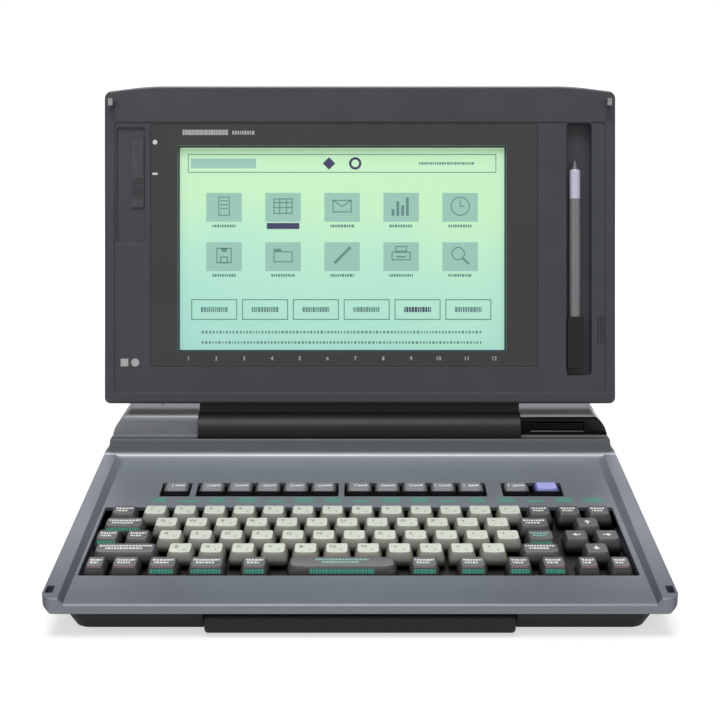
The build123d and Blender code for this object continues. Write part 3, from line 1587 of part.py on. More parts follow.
with BuildPart() as lid_screws:
    head = (lid_back + 3.4, lid_back + 5.0)
    discs(lid_screws_places, lid_screw_head, head, plane=lid_face)
    discs(lid_screws_places, lid_screw_shank, (head[1], -bezel_front_wall), plane=lid_face)
    with BuildSketch(lid_face.offset(head[0])):
        with Locations(*lid_screws_places):
            Rectangle(3.0, 0.7)
            Rectangle(0.7, 3.0)
    extrude(amount=0.9, mode=Mode.SUBTRACT)

with BuildPart() as screen_panel:
    slab(
        (panel_left, panel_right),
        (panel_bottom, panel_top),
        (panel_seat, panel_seat + panel_thickness),
        plane=lid_face,
        corner=1.0,
    )
    slab(
        (screen_left, screen_right),
        (screen_bottom, screen_top),
        (panel_seat, panel_seat + panel_thickness),
        plane=lid_face,
        mode=Mode.SUBTRACT,
    )

glass_edge = 4.0
with BuildPart() as lcd_glass:
    slab(
        (screen_left - glass_edge, screen_right + glass_edge),
        (screen_bottom - glass_edge, screen_top + glass_edge),
        (-bezel_front_wall - glass_thickness, -bezel_front_wall),
        plane=lid_face,
    )

backlight_front = -bezel_front_wall - glass_thickness
with BuildPart() as backlight:
    slab(
        (screen_left - glass_edge - 2, screen_right + glass_edge + 2),
        (screen_bottom - glass_edge - 2, screen_top + glass_edge + 2),
        (backlight_front - backlight_thickness, backlight_front),
        plane=lid_face,
    )
    # the lamp's reflector along the lower edge, and a stiffening frame pressed into the back
    slab(
        (screen_left - glass_edge - 2, screen_right + glass_edge + 2),
        (screen_bottom - glass_edge - 2, screen_bottom - glass_edge + 6),
        (backlight_front - backlight_thickness - 2.0, backlight_front),
        plane=lid_face,
    )
    slab(
        (screen_left + 12, screen_right - 12),
        (screen_bottom + 16, screen_top - 12),
        (backlight_front - backlight_thickness - 1, backlight_front - backlight_thickness + 1.0),
        plane=lid_face,
        mode=Mode.SUBTRACT,
        corner=3.0,
    )

inverter_front = -bezel_front_wall
with BuildPart() as inverter_board:
    slab((-70.0, 40.0), (5.0, 21.0), (inverter_front - board_thickness, inverter_front), plane=lid_face)
    inverter_back = inverter_front - board_thickness
    slab((-58.0, -36.0), (7.0, 19.0), (inverter_front - 8.0, inverter_back), plane=lid_face)
    slab((-20.0, -6.0), (8.0, 18.0), (inverter_front - 5.5, inverter_front - board_thickness), plane=lid_face)
    discs([(8.0, 13.0), (20.0, 13.0)], 3.5, (inverter_front - 7.0, inverter_back), plane=lid_face)

with BuildPart() as hinge_cover:
    # the barrel between the shoulders, and the neck that joins it to the lid
    hinge_end = lid_side.shift_origin((0, hinge_y, hinge_height))
    disc((0, 0), barrel_radius, (barrel_left, barrel_right), plane=hinge_end)
    slab((barrel_left, barrel_right), (0, lid_above_hinge), (-neck_thickness, 0), plane=hinge_plane)
    for at, depth in ((barrel_left, hinge_pin_length), (barrel_right, -hinge_pin_length)):
        span = tuple(sorted((at - depth / 20, at + depth)))
        disc((hinge_y, hinge_height), hinge_pin_radius + fit, span, plane=Plane.YZ, mode=Mode.SUBTRACT)

with BuildPart() as hinge_pins:
    hinge_axis = (hinge_y, hinge_height)
    left_end = barrel_left - side_slip - hinge_pin_hold
    right_end = card_block_left + hinge_pin_hold
    disc(hinge_axis, hinge_pin_radius, (left_end, left_end + hinge_pin_length), plane=Plane.YZ)
    disc(hinge_axis, hinge_pin_radius, (right_end - hinge_pin_length, right_end), plane=Plane.YZ)
    chamfer(hinge_pins.edges(), 0.5)

with BuildPart() as contrast_slider:
    knob_floor = -field_depth - recess_depth + slip / 2
    slab(
        (knob_left, knob_right),
        (knob_bottom, knob_top),
        (knob_floor, knob_floor + knob_thickness),
        plane=lid_face,
    )
    slab(
        (slot_middle - 1.5, slot_middle + 1.5),
        (knob_middle - 6.0, knob_middle + 6.0),
        (-bezel_front_wall - 1.5, knob_floor + 0.2),
        plane=lid_face,
    )
    for index in range(9):
        v = knob_bottom + 6.0 + 1.6 * index
        groove_out = (knob_floor + 0.7, 1)
        slab((knob_left + 1, knob_right - 1), (v, v + 0.7), groove_out, lid_face, Mode.SUBTRACT)

with BuildPart() as stylus:
    # turned about its own axis: a tapered tail, the barrel, a pale collar and the point
    stylus_origin = lid_face.from_local_coords((stylus_x, 0, stylus_axis_depth))
    stylus_plane = Plane(origin=stylus_origin, x_dir=(1, 0, 0), z_dir=lid_face.z_dir)
    with BuildSketch(stylus_plane):
        with BuildLine():
            Polyline(
                [
                    (0, stylus_low),
                    (stylus_radius - 1.0, stylus_low),
                    (stylus_radius - 0.5, stylus_low + 1.0),
                    (stylus_radius, holder_top + 14.0),
                    (stylus_radius, stylus_high - 26.0),
                    (stylus_radius - 0.2, stylus_high - 25.6),
                    (stylus_radius - 0.2, stylus_high - 7.0),
                    (stylus_radius - 1.4, stylus_high - 5.0),
                    (0.6, stylus_high),
                    (0, stylus_high),
                ],
                close=True,
            )
        make_face()
    revolve(axis=Axis(stylus_plane.origin, stylus_plane.y_dir))

with BuildPart() as stylus_holder:
    slab(
        (holder_left, holder_right),
        (holder_bottom, holder_top),
        (-groove_depth, -0.4),
        plane=lid_face,
        corner=1.5,
    )
    holder_axis = Plane(origin=stylus_plane.origin, x_dir=(1, 0, 0), z_dir=lid_face.y_dir)
    bore = (holder_bottom + 3.0, holder_top + 1)
    disc((0, 0), stylus_radius + slip, bore, plane=holder_axis, mode=Mode.SUBTRACT)

with BuildPart() as latch_hooks:
    for side in (-1, 1):
        inner, outer = hook_x - hook_thickness / 2, hook_x + hook_thickness / 2
        across = tuple(sorted((side * inner, side * outer)))
        slab(across, (hook_bottom, hook_top), (-3.0, hook_reach), plane=lid_face)
        # the notch that the latch's tongue enters
        slab(
            tuple(sorted((side * (hook_x + 0.1), side * (outer + 1)))),
            (hook_bottom - 1, hook_bottom + 2.4),
            (hook_reach - 4.1, hook_reach - 1.4),
            plane=lid_face,
            mode=Mode.SUBTRACT,
        )

assembly = {
    "bottom_case": bottom_case,
    "deck_cover": deck_cover,
    "rear_housing": rear_housing,
    "rubber_feet": rubber_feet,
    "case_screws": case_screws,
    "carry_handle": carry_handle,
    "latch_slide_left": latch_slide_left,
    "latch_slide_right": latch_slide_right,
    "key_frame": key_frame,
    "dome_mat": dome_mat,
    "keyboard_plate": keyboard_plate,
    "number_keys": number_keys,
    "upper_letter_keys": upper_letter_keys,
    "home_letter_keys": home_letter_keys,
    "lower_letter_keys": lower_letter_keys,
    "left_control_keys": left_control_keys,
    "shift_keys": shift_keys,
    "editing_keys": editing_keys,
    "enter_key": enter_key,
    "cursor_keys": cursor_keys,
    "space_bar": space_bar,
    "lowest_row_keys": lowest_row_keys,
    "function_keys": function_keys,
    "power_key": power_key,
    "main_board": main_board,
    "power_supply": power_supply,
    "speaker": speaker,
    "floppy_drive": floppy_drive,
    "eject_button": eject_button,
    "card_slot": card_slot,
    "card_flap": card_flap,
    "power_inlet": power_inlet,
    "printer_chassis": printer_chassis,
    "guide_rod": guide_rod,
    "carriage": carriage,
    "ribbon_cassette": ribbon_cassette,
    "drive_belt": drive_belt,
    "drive_pulley": drive_pulley,
    "tension_pulley": tension_pulley,
    "stepping_motors": stepping_motors,
    "platen_roller": platen_roller,
    "idler_gear": idler_gear,
    "feed_pinion": feed_pinion,
    "pressure_rollers": pressure_rollers,
    "printer_cover": printer_cover,
    "paper_support": paper_support,
    "lid_bezel": lid_bezel,
    "lid_back_cover": lid_back_cover,
    "lid_screws": lid_screws,
    "screen_panel": screen_panel,
    "lcd_glass": lcd_glass,
    "backlight": backlight,
    "inverter_board": inverter_board,
    "hinge_cover": hinge_cover,
    "hinge_pins": hinge_pins,
    "contrast_slider": contrast_slider,
    "stylus": stylus,
    "stylus_holder": stylus_holder,
    "latch_hooks": latch_hooks,
}

for label, piece in assembly.items():
    piece.part.label = label
    export_step(piece.part, f"parts/{label}.step")
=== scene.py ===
"""Looks of the portable word processor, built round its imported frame.

Metres, +Z up, +X to the typist's right, +Y away from the typist. Local places on the deck and on the lid's
face are (across, up the surface, out of it), and both surfaces take their directions from the frame's joints.
"""

import json
import math
import bpy
import numpy as np
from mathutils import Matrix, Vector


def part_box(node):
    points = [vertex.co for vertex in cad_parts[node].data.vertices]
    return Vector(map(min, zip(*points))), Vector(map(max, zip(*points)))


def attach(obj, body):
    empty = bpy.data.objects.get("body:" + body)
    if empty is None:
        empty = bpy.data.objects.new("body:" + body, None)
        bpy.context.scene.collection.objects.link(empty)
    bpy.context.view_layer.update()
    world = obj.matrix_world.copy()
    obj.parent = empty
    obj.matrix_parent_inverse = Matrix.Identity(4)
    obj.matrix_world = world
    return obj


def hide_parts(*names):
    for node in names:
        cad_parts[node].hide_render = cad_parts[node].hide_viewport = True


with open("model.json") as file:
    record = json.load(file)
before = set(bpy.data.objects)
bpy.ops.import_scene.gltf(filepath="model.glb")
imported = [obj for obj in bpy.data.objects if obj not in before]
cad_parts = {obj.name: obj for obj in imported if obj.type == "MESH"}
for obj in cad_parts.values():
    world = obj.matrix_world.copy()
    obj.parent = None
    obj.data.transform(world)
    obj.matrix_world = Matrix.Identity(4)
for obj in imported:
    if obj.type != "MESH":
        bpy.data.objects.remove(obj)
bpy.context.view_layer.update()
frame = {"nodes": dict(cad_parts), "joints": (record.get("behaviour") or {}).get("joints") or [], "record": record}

# ---------------------------------------------------------------- sizes and places

mm = 0.001
deck_front_height = 19.0 * mm
lid_above_hinge = 18.4 * mm
face_ahead = 7.6 * mm
cap_segments = 40
cap_rim_radius = 0.7 * mm
cap_rim_share = 0.9  # the rim comes in by this share of its radius
cap_wall = 1.2 * mm
cap_top_wall = 1.6 * cap_wall
cap_dish = 0.35 * mm
cap_dish_from = 0.6  # the share of a cap's height from which its rings follow the dish
cap_squareness = 7  # the power in a cap's rounded rectangle
skirt_edge = 0.2 * mm  # a cap's skirt is measured this near its left side
level_slack = 0.02 * mm  # points this close in height are on one level
print_lift = 0.06 * mm  # how far printed marks stand off what they are printed on
field_depth = 0.8 * mm  # the sunk field of the lid's face
glass_depth = 5.0 * mm  # the screen's front behind the lid's face
screen_left, screen_right = -123.0 * mm, 98.8 * mm
screen_bottom, screen_top = 34.9 * mm, 174.1 * mm
stylus_foot, stylus_end = 30 * mm, 164 * mm  # up the lid's face
board_top = 9.2 * mm  # what stands higher on the main board is parts
function_plate = 3.2 * mm  # a function key is a thin plate on a black plunger
stem_drop = 1.0 * mm  # a stem ends this far under its cap's top
# how far a plunger keeps inside its cap at the sides, in front, behind and on top
plunger_side, plunger_near, plunger_far, plunger_drop = 0.5 * mm, 0.2 * mm, 0.4 * mm, 1.4 * mm

camera_place = (0.0, -0.9138, 0.3089)
camera_pitch = 12.0
camera_lens = 73.85
sensor = 36.0

joints = {joint["name"]: joint for joint in frame["joints"]}
across = np.array((1.0, 0.0, 0.0))


def surface_axes(out):
    """Three rows: across, up the surface, and out of it, for a surface that runs straight across X."""
    out = np.array(out) / np.linalg.norm(out)
    return np.array((across, np.cross(out, across), out))


deck_axes = surface_axes(-np.array(joints["space_bar_press"]["axis"]))
deck_origin = np.array((0.0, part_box("deck_cover")[0].y, deck_front_height))
lid_axes = surface_axes(np.cross(across, joints["stylus_slide"]["axis"]))
lid_origin = (
    np.array(joints["lid_hinge"]["pos_m"]) + lid_above_hinge * lid_axes[1] + face_ahead * lid_axes[2]
)
body_of = {node: body for body, nodes in frame["record"]["behaviour"]["bodies"].items() for node in nodes}
slot_of = {part["node"]: part["material_slot"] for part in frame["record"]["subparts"]}

# ---------------------------------------------------------------- materials


def linear(colour):
    """Linear red, green, blue and alpha of an sRGB hex colour.

    Up to 0.04045 a value is divided by 12.92, and above it a power of 2.4 is taken.
    """
    srgb = [int(colour[i : i + 2], 16) / 255 for i in (1, 3, 5)]
    return (*(c / 12.92 if c <= 0.04045 else ((c + 0.055) / 1.055) ** 2.4 for c in srgb), 1.0)


def add_node(tree, kind, inputs=(), **settings):
    """Adds a node: settings are its properties, and inputs gives each socket a value or another's output."""
    node = tree.nodes.new("ShaderNode" + kind)
    for name, value in settings.items():
        setattr(node, name, value)
    for name, value in dict(inputs).items():
        if isinstance(value, bpy.types.NodeSocket):
            tree.links.new(value, node.inputs[name])
        else:
            node.inputs[name].default_value = value
    return node


def start(name):
    """A new material with its tree, its shader and its Object coordinates."""
    material = bpy.data.materials.new(name)
    material.use_nodes = True
    tree = material.node_tree
    place = add_node(tree, "TexCoord").outputs["Object"]
    return material, tree, tree.nodes["Principled BSDF"], place


def relief(tree, shader, place, grain, height, rounding=0.0):
    """Fine grain of a moulded or cast surface, with edges rounded over a small radius where one is given."""
    noise = add_node(tree, "TexNoise", {"Vector": place, "Scale": 1 / grain, "Detail": 3.0})
    bump = add_node(tree, "Bump", {"Strength": 0.5, "Distance": height, "Height": noise.outputs["Fac"]})
    if rounding:
        edge = add_node(tree, "Bevel", {"Radius": rounding}, samples=4)
        tree.links.new(edge.outputs["Normal"], bump.inputs["Normal"])
    tree.links.new(bump.outputs["Normal"], shader.inputs["Normal"])


def mottle(tree, shader, place, colours, patch, roughness):
    """Two close shades that drift over patches of a real size, and a roughness that drifts with them."""
    noise = add_node(tree, "TexNoise", {"Vector": place, "Scale": 1 / patch, "Detail": 4.0})
    shade = add_node(
        tree,
        "Mix",
        {0: noise.outputs["Fac"], 6: linear(colours[0]), 7: linear(colours[1])},
        data_type="RGBA",
    )
    tree.links.new(shade.outputs[2], shader.inputs["Base Color"])
    rough = add_node(
        tree, "MapRange", {"Value": noise.outputs["Fac"], "To Min": roughness[0], "To Max": roughness[1]}
    )
    tree.links.new(rough.outputs["Result"], shader.inputs["Roughness"])
    return shade


def charcoal_moulding():
    """Satin ABS from a spark-eroded mould: dark grey, with a soft broad sheen and a fine pebble."""
    material, tree, shader, place = start("charcoal_moulding")
    mottle(tree, shader, place, ("#34373c", "#3d4045"), 25 * mm, (0.36, 0.46))
    relief(tree, shader, place, 0.9 * mm, 0.05 * mm, 0.6 * mm)
    shader.inputs["IOR"].default_value = 1.53
    return material


def barrel_moulding():
    """Black-grey ABS of the hinge barrel, smoother than the lid, with a soft light band along its top."""
    material, tree, shader, place = start("barrel_moulding")
    mottle(tree, shader, place, ("#0f1214", "#181b1d"), 25 * mm, (0.42, 0.52))
    relief(tree, shader, place, 0.9 * mm, 0.02 * mm, 0.5 * mm)
    shader.inputs["Specular IOR Level"].default_value = 0.35
    return material


def back_moulding():
    """Satin ABS of the lid's back, a shade lighter, with the same pebble."""
    material, tree, shader, place = start("back_moulding")
    mottle(tree, shader, place, ("#4b4f55", "#565a60"), 30 * mm, (0.4, 0.5))
    relief(tree, shader, place, 0.9 * mm, 0.06 * mm, 0.6 * mm)
    shader.inputs["IOR"].default_value = 1.53
    return material


def metallic_paint(name, colours, painted_light_spans):
    """Grey paint with aluminium flake on ABS: it brightens where it turns to the light, and glitters finely.

    Each painted light span takes it to another shade over a span of places along Y, in mm: light and shade painted
    into the colour.
    """
    material, tree, shader, place = start(name)
    shade = mottle(tree, shader, place, colours, 60 * mm, (0.4, 0.48))
    # flakes are about 0.05 mm wide, and are drawn 0.6 mm wide so that they show
    flake = add_node(tree, "TexVoronoi", {"Vector": place, "Scale": 1 / (0.6 * mm)})
    grey = add_node(tree, "MapRange", {"Value": flake.outputs["Color"], "To Min": 0.93, "To Max": 1.07})
    coat = add_node(
        tree,
        "Mix",
        {0: 1.0, 6: shade.outputs[2], 7: grey.outputs["Result"]},
        data_type="RGBA",
        blend_type="MULTIPLY",
    )
    behind = add_node(tree, "SeparateXYZ", {"Vector": place}).outputs["Y"]
    # painted light and shade, mixed in span by span along Y
    for painted_tone, first, last in painted_light_spans:
        share = add_node(tree, "MapRange", {"Value": behind, "From Min": first * mm, "From Max": last * mm})
        coat = add_node(
            tree,
            "Mix",
            {0: share.outputs["Result"], 6: coat.outputs[2], 7: linear(painted_tone)},
            data_type="RGBA",
        )
    tree.links.new(coat.outputs[2], shader.inputs["Base Color"])
    relief(tree, shader, place, 0.8 * mm, 0.03 * mm, 0.6 * mm)
    shader.inputs["Metallic"].default_value = 0.35
    return material


def deck_paint():
    """Blue-grey flake paint of the deck, with painted light: paler towards the back, painted shade darkening it
    towards the front, and a painted highlight along the front edge.
    """
    # painted light towards the back, painted shade towards the front, painted highlight on the front edge
    painted_light_spans = (("#898f99", -20, 30), ("#4f535d", -80, -165), ("#7f828a", -172.6, -174.6))
    return metallic_paint("deck_paint", ("#71767e", "#7b8088"), painted_light_spans)


def housing_paint():
    """The same paint on the rear housing, with a painted highlight along its front ridge and painted shade on the
    wall behind it.
    """
    # painted shade on the wall behind the ridge, painted highlight along the ridge
    painted_light_spans = (("#5a5d60", 50, 46), ("#b3b8be", 37.5, 34.5))
    return metallic_paint("housing_paint", ("#83868a", "#8f9194"), painted_light_spans)


def black_moulding():
    """Black ABS of the tray: coarse pebble, low sheen."""
    material, tree, shader, place = start("black_moulding")
    mottle(tree, shader, place, ("#161616", "#1f1f1e"), 20 * mm, (0.5, 0.62))
    relief(tree, shader, place, 1.1 * mm, 0.08 * mm, 0.5 * mm)
    shader.inputs["Specular IOR Level"].default_value = 0.3
    return material


def black_gloss():
    """Polished black ABS of the card door and its surround: smooth and shiny, with faint waves."""
    material, tree, shader, place = start("black_gloss")
    mottle(tree, shader, place, ("#070707", "#0c0c0c"), 12 * mm, (0.14, 0.22))
    relief(tree, shader, place, 3.0 * mm, 0.01 * mm, 0.5 * mm)
    shader.inputs["Specular IOR Level"].default_value = 0.22
    return material


def key_plastic(name, colours, skirt):
    """Key cap of injection-moulded ABS, with painted light: the top keeps its own shades and the skirt is painted
    a darker shade by how far the surface turns from upright.
    """
    material, tree, shader, place = start(name)
    shade = mottle(tree, shader, place, colours, 9 * mm, (0.36, 0.5))
    # painted shade: the darker skirt colour takes over as the surface turns away from upright
    faces = add_node(tree, "NewGeometry").outputs["Normal"]
    upright = add_node(tree, "SeparateXYZ", {"Vector": faces}).outputs["Z"]
    share = add_node(tree, "MapRange", {"Value": upright, "From Min": 0.7, "From Max": 0.97})
    blend = add_node(
        tree,
        "Mix",
        {0: share.outputs["Result"], 6: linear(skirt), 7: shade.outputs[2]},
        data_type="RGBA",
    )
    tree.links.new(blend.outputs[2], shader.inputs["Base Color"])
    relief(tree, shader, place, 0.7 * mm, 0.03 * mm)
    shader.inputs["IOR"].default_value = 1.53
    return material


def pale_key():
    """Light grey-beige cap, with a darker painted shade for its skirt."""
    return key_plastic("pale_key", ("#c1c4ba", "#cbcec4"), "#7b7a72")


def dark_key():
    """Dark warm grey cap, with a darker painted shade for its skirt."""
    return key_plastic("dark_key", ("#545155", "#5e5b5f"), "#343235")


def grey_key():
    """Mid grey cap of the function row, with a darker painted shade for its skirt."""
    return key_plastic("grey_key", ("#7c7e86", "#86888f"), "#5f6168")


def lavender_key():
    """Lavender cap of the power key, with a dark blue painted shade for its skirt."""
    return key_plastic("lavender_key", ("#a3a3e0", "#aeaeea"), "#4a4a98")


def soft_rubber():
    """Black nitrile rubber: matt, slightly dusty."""
    material, tree, shader, place = start("soft_rubber")
    mottle(tree, shader, place, ("#1b1b1b", "#282827"), 6 * mm, (0.72, 0.88))
    relief(tree, shader, place, 0.6 * mm, 0.05 * mm)
    return material


def zinc_steel():
    """Zinc-plated steel sheet: pale, drawn finely along X by rolling."""
    material, tree, shader, place = start("zinc_steel")
    stretched = add_node(tree, "Mapping", {"Vector": place, "Scale": (0.05, 1.0, 1.0)})
    mottle(tree, shader, stretched.outputs["Vector"], ("#a4a5a6", "#bcbdbe"), 2 * mm, (0.28, 0.42))
    relief(tree, shader, stretched.outputs["Vector"], 0.5 * mm, 0.01 * mm)
    shader.inputs["Metallic"].default_value = 1.0
    return material


def machine_plastic():
    """Glass-filled nylon of gears, carriage and cassette: dark grey, dull, with faint flow marks."""
    material, tree, shader, place = start("machine_plastic")
    mottle(tree, shader, place, ("#35363a", "#46474b"), 5 * mm, (0.5, 0.65))
    relief(tree, shader, place, 0.8 * mm, 0.04 * mm)
    return material


def circuit_board():
    """Glass-epoxy board with green solder mask and tracks; what stands on it is black epoxy.

    The inverter board in the lid is higher than the main board's top, so it is black all over, as if potted.
    """
    material, tree, shader, place = start("circuit_board")
    tracks = add_node(
        tree,
        "TexBrick",
        {
            "Vector": place,
            "Scale": 1.0,
            "Color1": linear("#1f6a3f"),
            "Color2": linear("#246f45"),
            "Mortar": linear("#3f9a62"),
            "Mortar Size": 0.25 * mm,
            "Brick Width": 9 * mm,
            "Row Height": 1.6 * mm,
        },
    )
    height = add_node(tree, "SeparateXYZ", {"Vector": place}).outputs["Z"]
    above = add_node(tree, "Math", {0: height, 1: board_top}, operation="GREATER_THAN")
    colour = add_node(
        tree,
        "Mix",
        {0: above.outputs[0], 6: tracks.outputs["Color"], 7: linear("#1c1c1e")},
        data_type="RGBA",
    )
    tree.links.new(colour.outputs[2], shader.inputs["Base Color"])
    relief(tree, shader, place, 1.5 * mm, 0.03 * mm)
    shader.inputs["Roughness"].default_value = 0.4
    return material


def smoked_panel():
    """Smoked acrylic round the screen: dark warm grey under a glossy face."""
    material, tree, shader, place = start("smoked_panel")
    mottle(tree, shader, place, ("#3a3838", "#444141"), 40 * mm, (0.12, 0.2))
    relief(tree, shader, place, 6.0 * mm, 0.01 * mm, 0.4 * mm)
    shader.inputs["IOR"].default_value = 1.49
    shader.inputs["Coat Weight"].default_value = 0.3
    shader.inputs["Coat Roughness"].default_value = 0.05
    return material


def screen_field():
    """Backlit liquid crystal: pale yellow-green at the top right, bluer low down, with a faint grain."""
    material, tree, shader, place = start("screen_field")
    parts = add_node(tree, "SeparateXYZ", {"Vector": place})
    low = lid_origin + screen_bottom * lid_axes[1]
    high = lid_origin + screen_top * lid_axes[1]
    rise = add_node(
        tree, "MapRange", {"Value": parts.outputs["Z"], "From Min": low[2], "From Max": high[2]}
    )
    side = add_node(
        tree,
        "MapRange",
        {"Value": parts.outputs["X"], "From Min": screen_left, "From Max": screen_right, "To Max": 0.25},
    )
    drift = add_node(tree, "TexNoise", {"Vector": place, "Scale": 1 / (70 * mm), "Detail": 1.0})
    blend = add_node(tree, "Math", {0: rise.outputs[0], 1: side.outputs[0]}, operation="ADD")
    blend = add_node(
        tree, "Math", {0: drift.outputs["Fac"], 1: 0.4, 2: blend.outputs[0]}, operation="MULTIPLY_ADD"
    )
    ramp = add_node(tree, "ValToRGB", {"Fac": blend.outputs[0]})
    stops = ramp.color_ramp.elements
    stops[0].position, stops[0].color = 0.1, linear("#9acdc3")
    stops[1].position, stops[1].color = 1.0, linear("#b8dfb8")
    middle = stops.new(0.7)
    middle.color = linear("#a9d8c2")
    tree.links.new(ramp.outputs["Color"], shader.inputs["Base Color"])
    tree.links.new(ramp.outputs["Color"], shader.inputs["Emission Color"])
    relief(tree, shader, place, 0.5 * mm, 0.004 * mm)
    shader.inputs["Emission Strength"].default_value = 0.37
    shader.inputs["Roughness"].default_value = 0.25
    return material


def pen_plastic():
    """The stylus of ABS: satin grey barrel, pale lavender collar and darker point, by the height along it."""
    material, tree, shader, place = start("pen_plastic")
    along = add_node(
        tree, "VectorMath", {0: place, 1: tuple(lid_axes[1])}, operation="DOT_PRODUCT"
    ).outputs["Value"]
    base = float(lid_origin @ lid_axes[1])
    height = add_node(
        tree,
        "MapRange",
        {"Value": along, "From Min": base + stylus_foot, "From Max": base + stylus_end},
    )
    ramp = add_node(tree, "ValToRGB", {"Fac": height.outputs[0]})
    ramp.color_ramp.interpolation = "CONSTANT"
    stops = ramp.color_ramp.elements
    stops[0].position, stops[0].color = 0.0, linear("#7c7a7e")
    stops[1].position, stops[1].color = 0.806, linear("#c9c8dc")
    tip = stops.new(0.95)
    tip.color = linear("#5a595c")
    tree.links.new(ramp.outputs["Color"], shader.inputs["Base Color"])
    relief(tree, shader, place, 0.8 * mm, 0.02 * mm)
    shader.inputs["Roughness"].default_value = 0.34
    return material


def printed(name, colour, glow=0.0):
    """Matt pad-printed ink, with the slight unevenness of a thin coat."""
    material, tree, shader, place = start(name)
    mottle(tree, shader, place, (colour, colour), 3 * mm, (0.5, 0.62))
    relief(tree, shader, place, 0.5 * mm, 0.01 * mm)
    if glow:
        shader.inputs["Emission Color"].default_value = linear(colour)
        shader.inputs["Emission Strength"].default_value = glow
    return material


slot_materials = {
    "lid_charcoal": charcoal_moulding(),
    "lid_back_grey": back_moulding(),
    "deck_grey": deck_paint(),
    "housing_grey": housing_paint(),
    "case_black": black_moulding(),
    "letter_keys": pale_key(),
    "dark_keys": dark_key(),
    "grey_keys": grey_key(),
    "lavender_key": lavender_key(),
    "rubber_black": soft_rubber(),
    "steel": zinc_steel(),
    "machine_plastic": machine_plastic(),
    "circuit_board": circuit_board(),
    "panel_gloss": smoked_panel(),
    "screen_glass": screen_field(),
    "stylus_pale": pen_plastic(),
}
gloss = black_gloss()
own_materials = {"card_slot": gloss, "card_flap": gloss, "hinge_cover": barrel_moulding()}

for node_name, node_object in frame["nodes"].items():
    node_object.data.materials.clear()
    node_object.data.materials.append(own_materials.get(node_name) or slot_materials[slot_of[node_name]])

legend_light = printed("legend_light", "#d4d8d4")
legend_dark = printed("legend_dark", "#3a3a3e")
legend_green = printed("legend_green", "#3f9c84")
legend_teal = printed("legend_teal", "#7fb3a8")
legend_mauve = printed("legend_mauve", "#8e6a72")
legend_grey = printed("legend_grey", "#b4b2b2")
screen_dark = printed("screen_dark", "#3c3e62", 0.1)
screen_line = printed("screen_line", "#5f8780", 0.2)
screen_tone = printed("screen_tone", "#8fb9aa", 0.3)
# painted shade: a dark teal line round the screen, where the sunk screen lies in shade
screen_edge_shade = printed("screen_edge_shade", "#2c4250", 0.05)

# ---------------------------------------------------------------- mesh making


def make_piece(name, points, faces, material, body, smooth=False):
    """A mesh object at the origin from arrays of points and faces, riding on a body."""
    mesh = bpy.data.meshes.new(name)
    mesh.from_pydata(np.asarray(points).tolist(), [], [list(map(int, face)) for face in faces])
    mesh.polygons.foreach_set("use_smooth", np.full(len(mesh.polygons), smooth))
    mesh.materials.append(material)
    mesh.update()
    made = bpy.data.objects.new(name, mesh)
    bpy.context.scene.collection.objects.link(made)
    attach(made, body)
    return made


def on_surface(points, origin, axes):
    """World places of local (across, up, out) points: the origin plus each coordinate times its axis."""
    return np.asarray(points) @ axes + origin


def solids(node):
    """The separate solids of a CAD node, each as its points.

    Points at one place share a label, and each label becomes the lowest of its triangles until none changes.
    """
    mesh = frame["nodes"][node].data
    points = np.zeros(len(mesh.vertices) * 3)
    mesh.vertices.foreach_get("co", points)
    points = points.reshape(-1, 3)
    mesh.calc_loop_triangles()
    corners = np.zeros(len(mesh.loop_triangles) * 3, int)
    mesh.loop_triangles.foreach_get("vertices", corners)
    _, spot = np.unique(np.round(points, 6), axis=0, return_inverse=True)
    spot = spot.ravel()
    triangles = spot[corners].reshape(-1, 3)
    label = np.arange(spot.max() + 1)
    while True:
        lowest = label[triangles].min(axis=1)
        spread = label.copy()
        np.minimum.at(spread, triangles.ravel(), np.repeat(lowest, 3))
        spread = spread[spread]
        if (spread == label).all():
            break
        label = spread
    return [points[label[spot] == each] for each in np.unique(label)]


class Cap:
    """One key cap as the frame has it: its skirt and its top rectangle, in the deck's own places."""

    def __init__(self, points):
        local = (points - deck_origin) @ deck_axes.T
        self.left, self.near = local[:, 0].min(), local[:, 1].min()
        self.right, self.far = local[:, 0].max(), local[:, 1].max()
        self.top = local[:, 2].max()
        self.low = local[local[:, 0] < self.left + skirt_edge, 2].min()
        self.foot = local[:, 2].min()
        upper = local[local[:, 2] > self.top - level_slack]
        self.top_left, self.top_near = upper[:, 0].min(), upper[:, 1].min()
        self.top_right, self.top_far = upper[:, 0].max(), upper[:, 1].max()
        stems = local[local[:, 2] < self.foot + level_slack]
        self.stem_sides = np.unique(np.round(stems[:, 0], 5)).reshape(-1, 2)
        self.stem_ends = (stems[:, 1].min(), stems[:, 1].max())

    @property
    def middle(self):
        return np.array((self.left + self.right, self.near + self.far)) / 2

    @property
    def top_middle(self):
        return np.array((self.top_left + self.top_right, self.top_near + self.top_far)) / 2

    @property
    def top_half(self):
        return np.array((self.top_right - self.top_left, self.top_far - self.top_near)) / 2

    def surface(self, x, y, crown):
        """Height of the top at (x, y): it falls by the dish to the middle, or, on a crowned cap, from it."""
        u = np.clip((x - self.top_middle[0]) / self.top_half[0], -1, 1)
        v = np.clip((y - self.top_middle[1]) / self.top_half[1], -1, 1)
        return self.top - (cap_dish * v**2 if crown else cap_dish * (1 - u**2))


def ring_loops(count, segments):
    """Faces between rings of points that lie one after another, each ring closed on itself."""
    ring, step = np.meshgrid(np.arange(count - 1), np.arange(segments), indexing="ij")
    after = (step + 1) % segments
    corners = [ring * segments + step, ring * segments + after]
    corners += [(ring + 1) * segments + after, (ring + 1) * segments + step]
    return np.stack(corners, axis=-1).reshape(-1, 4)


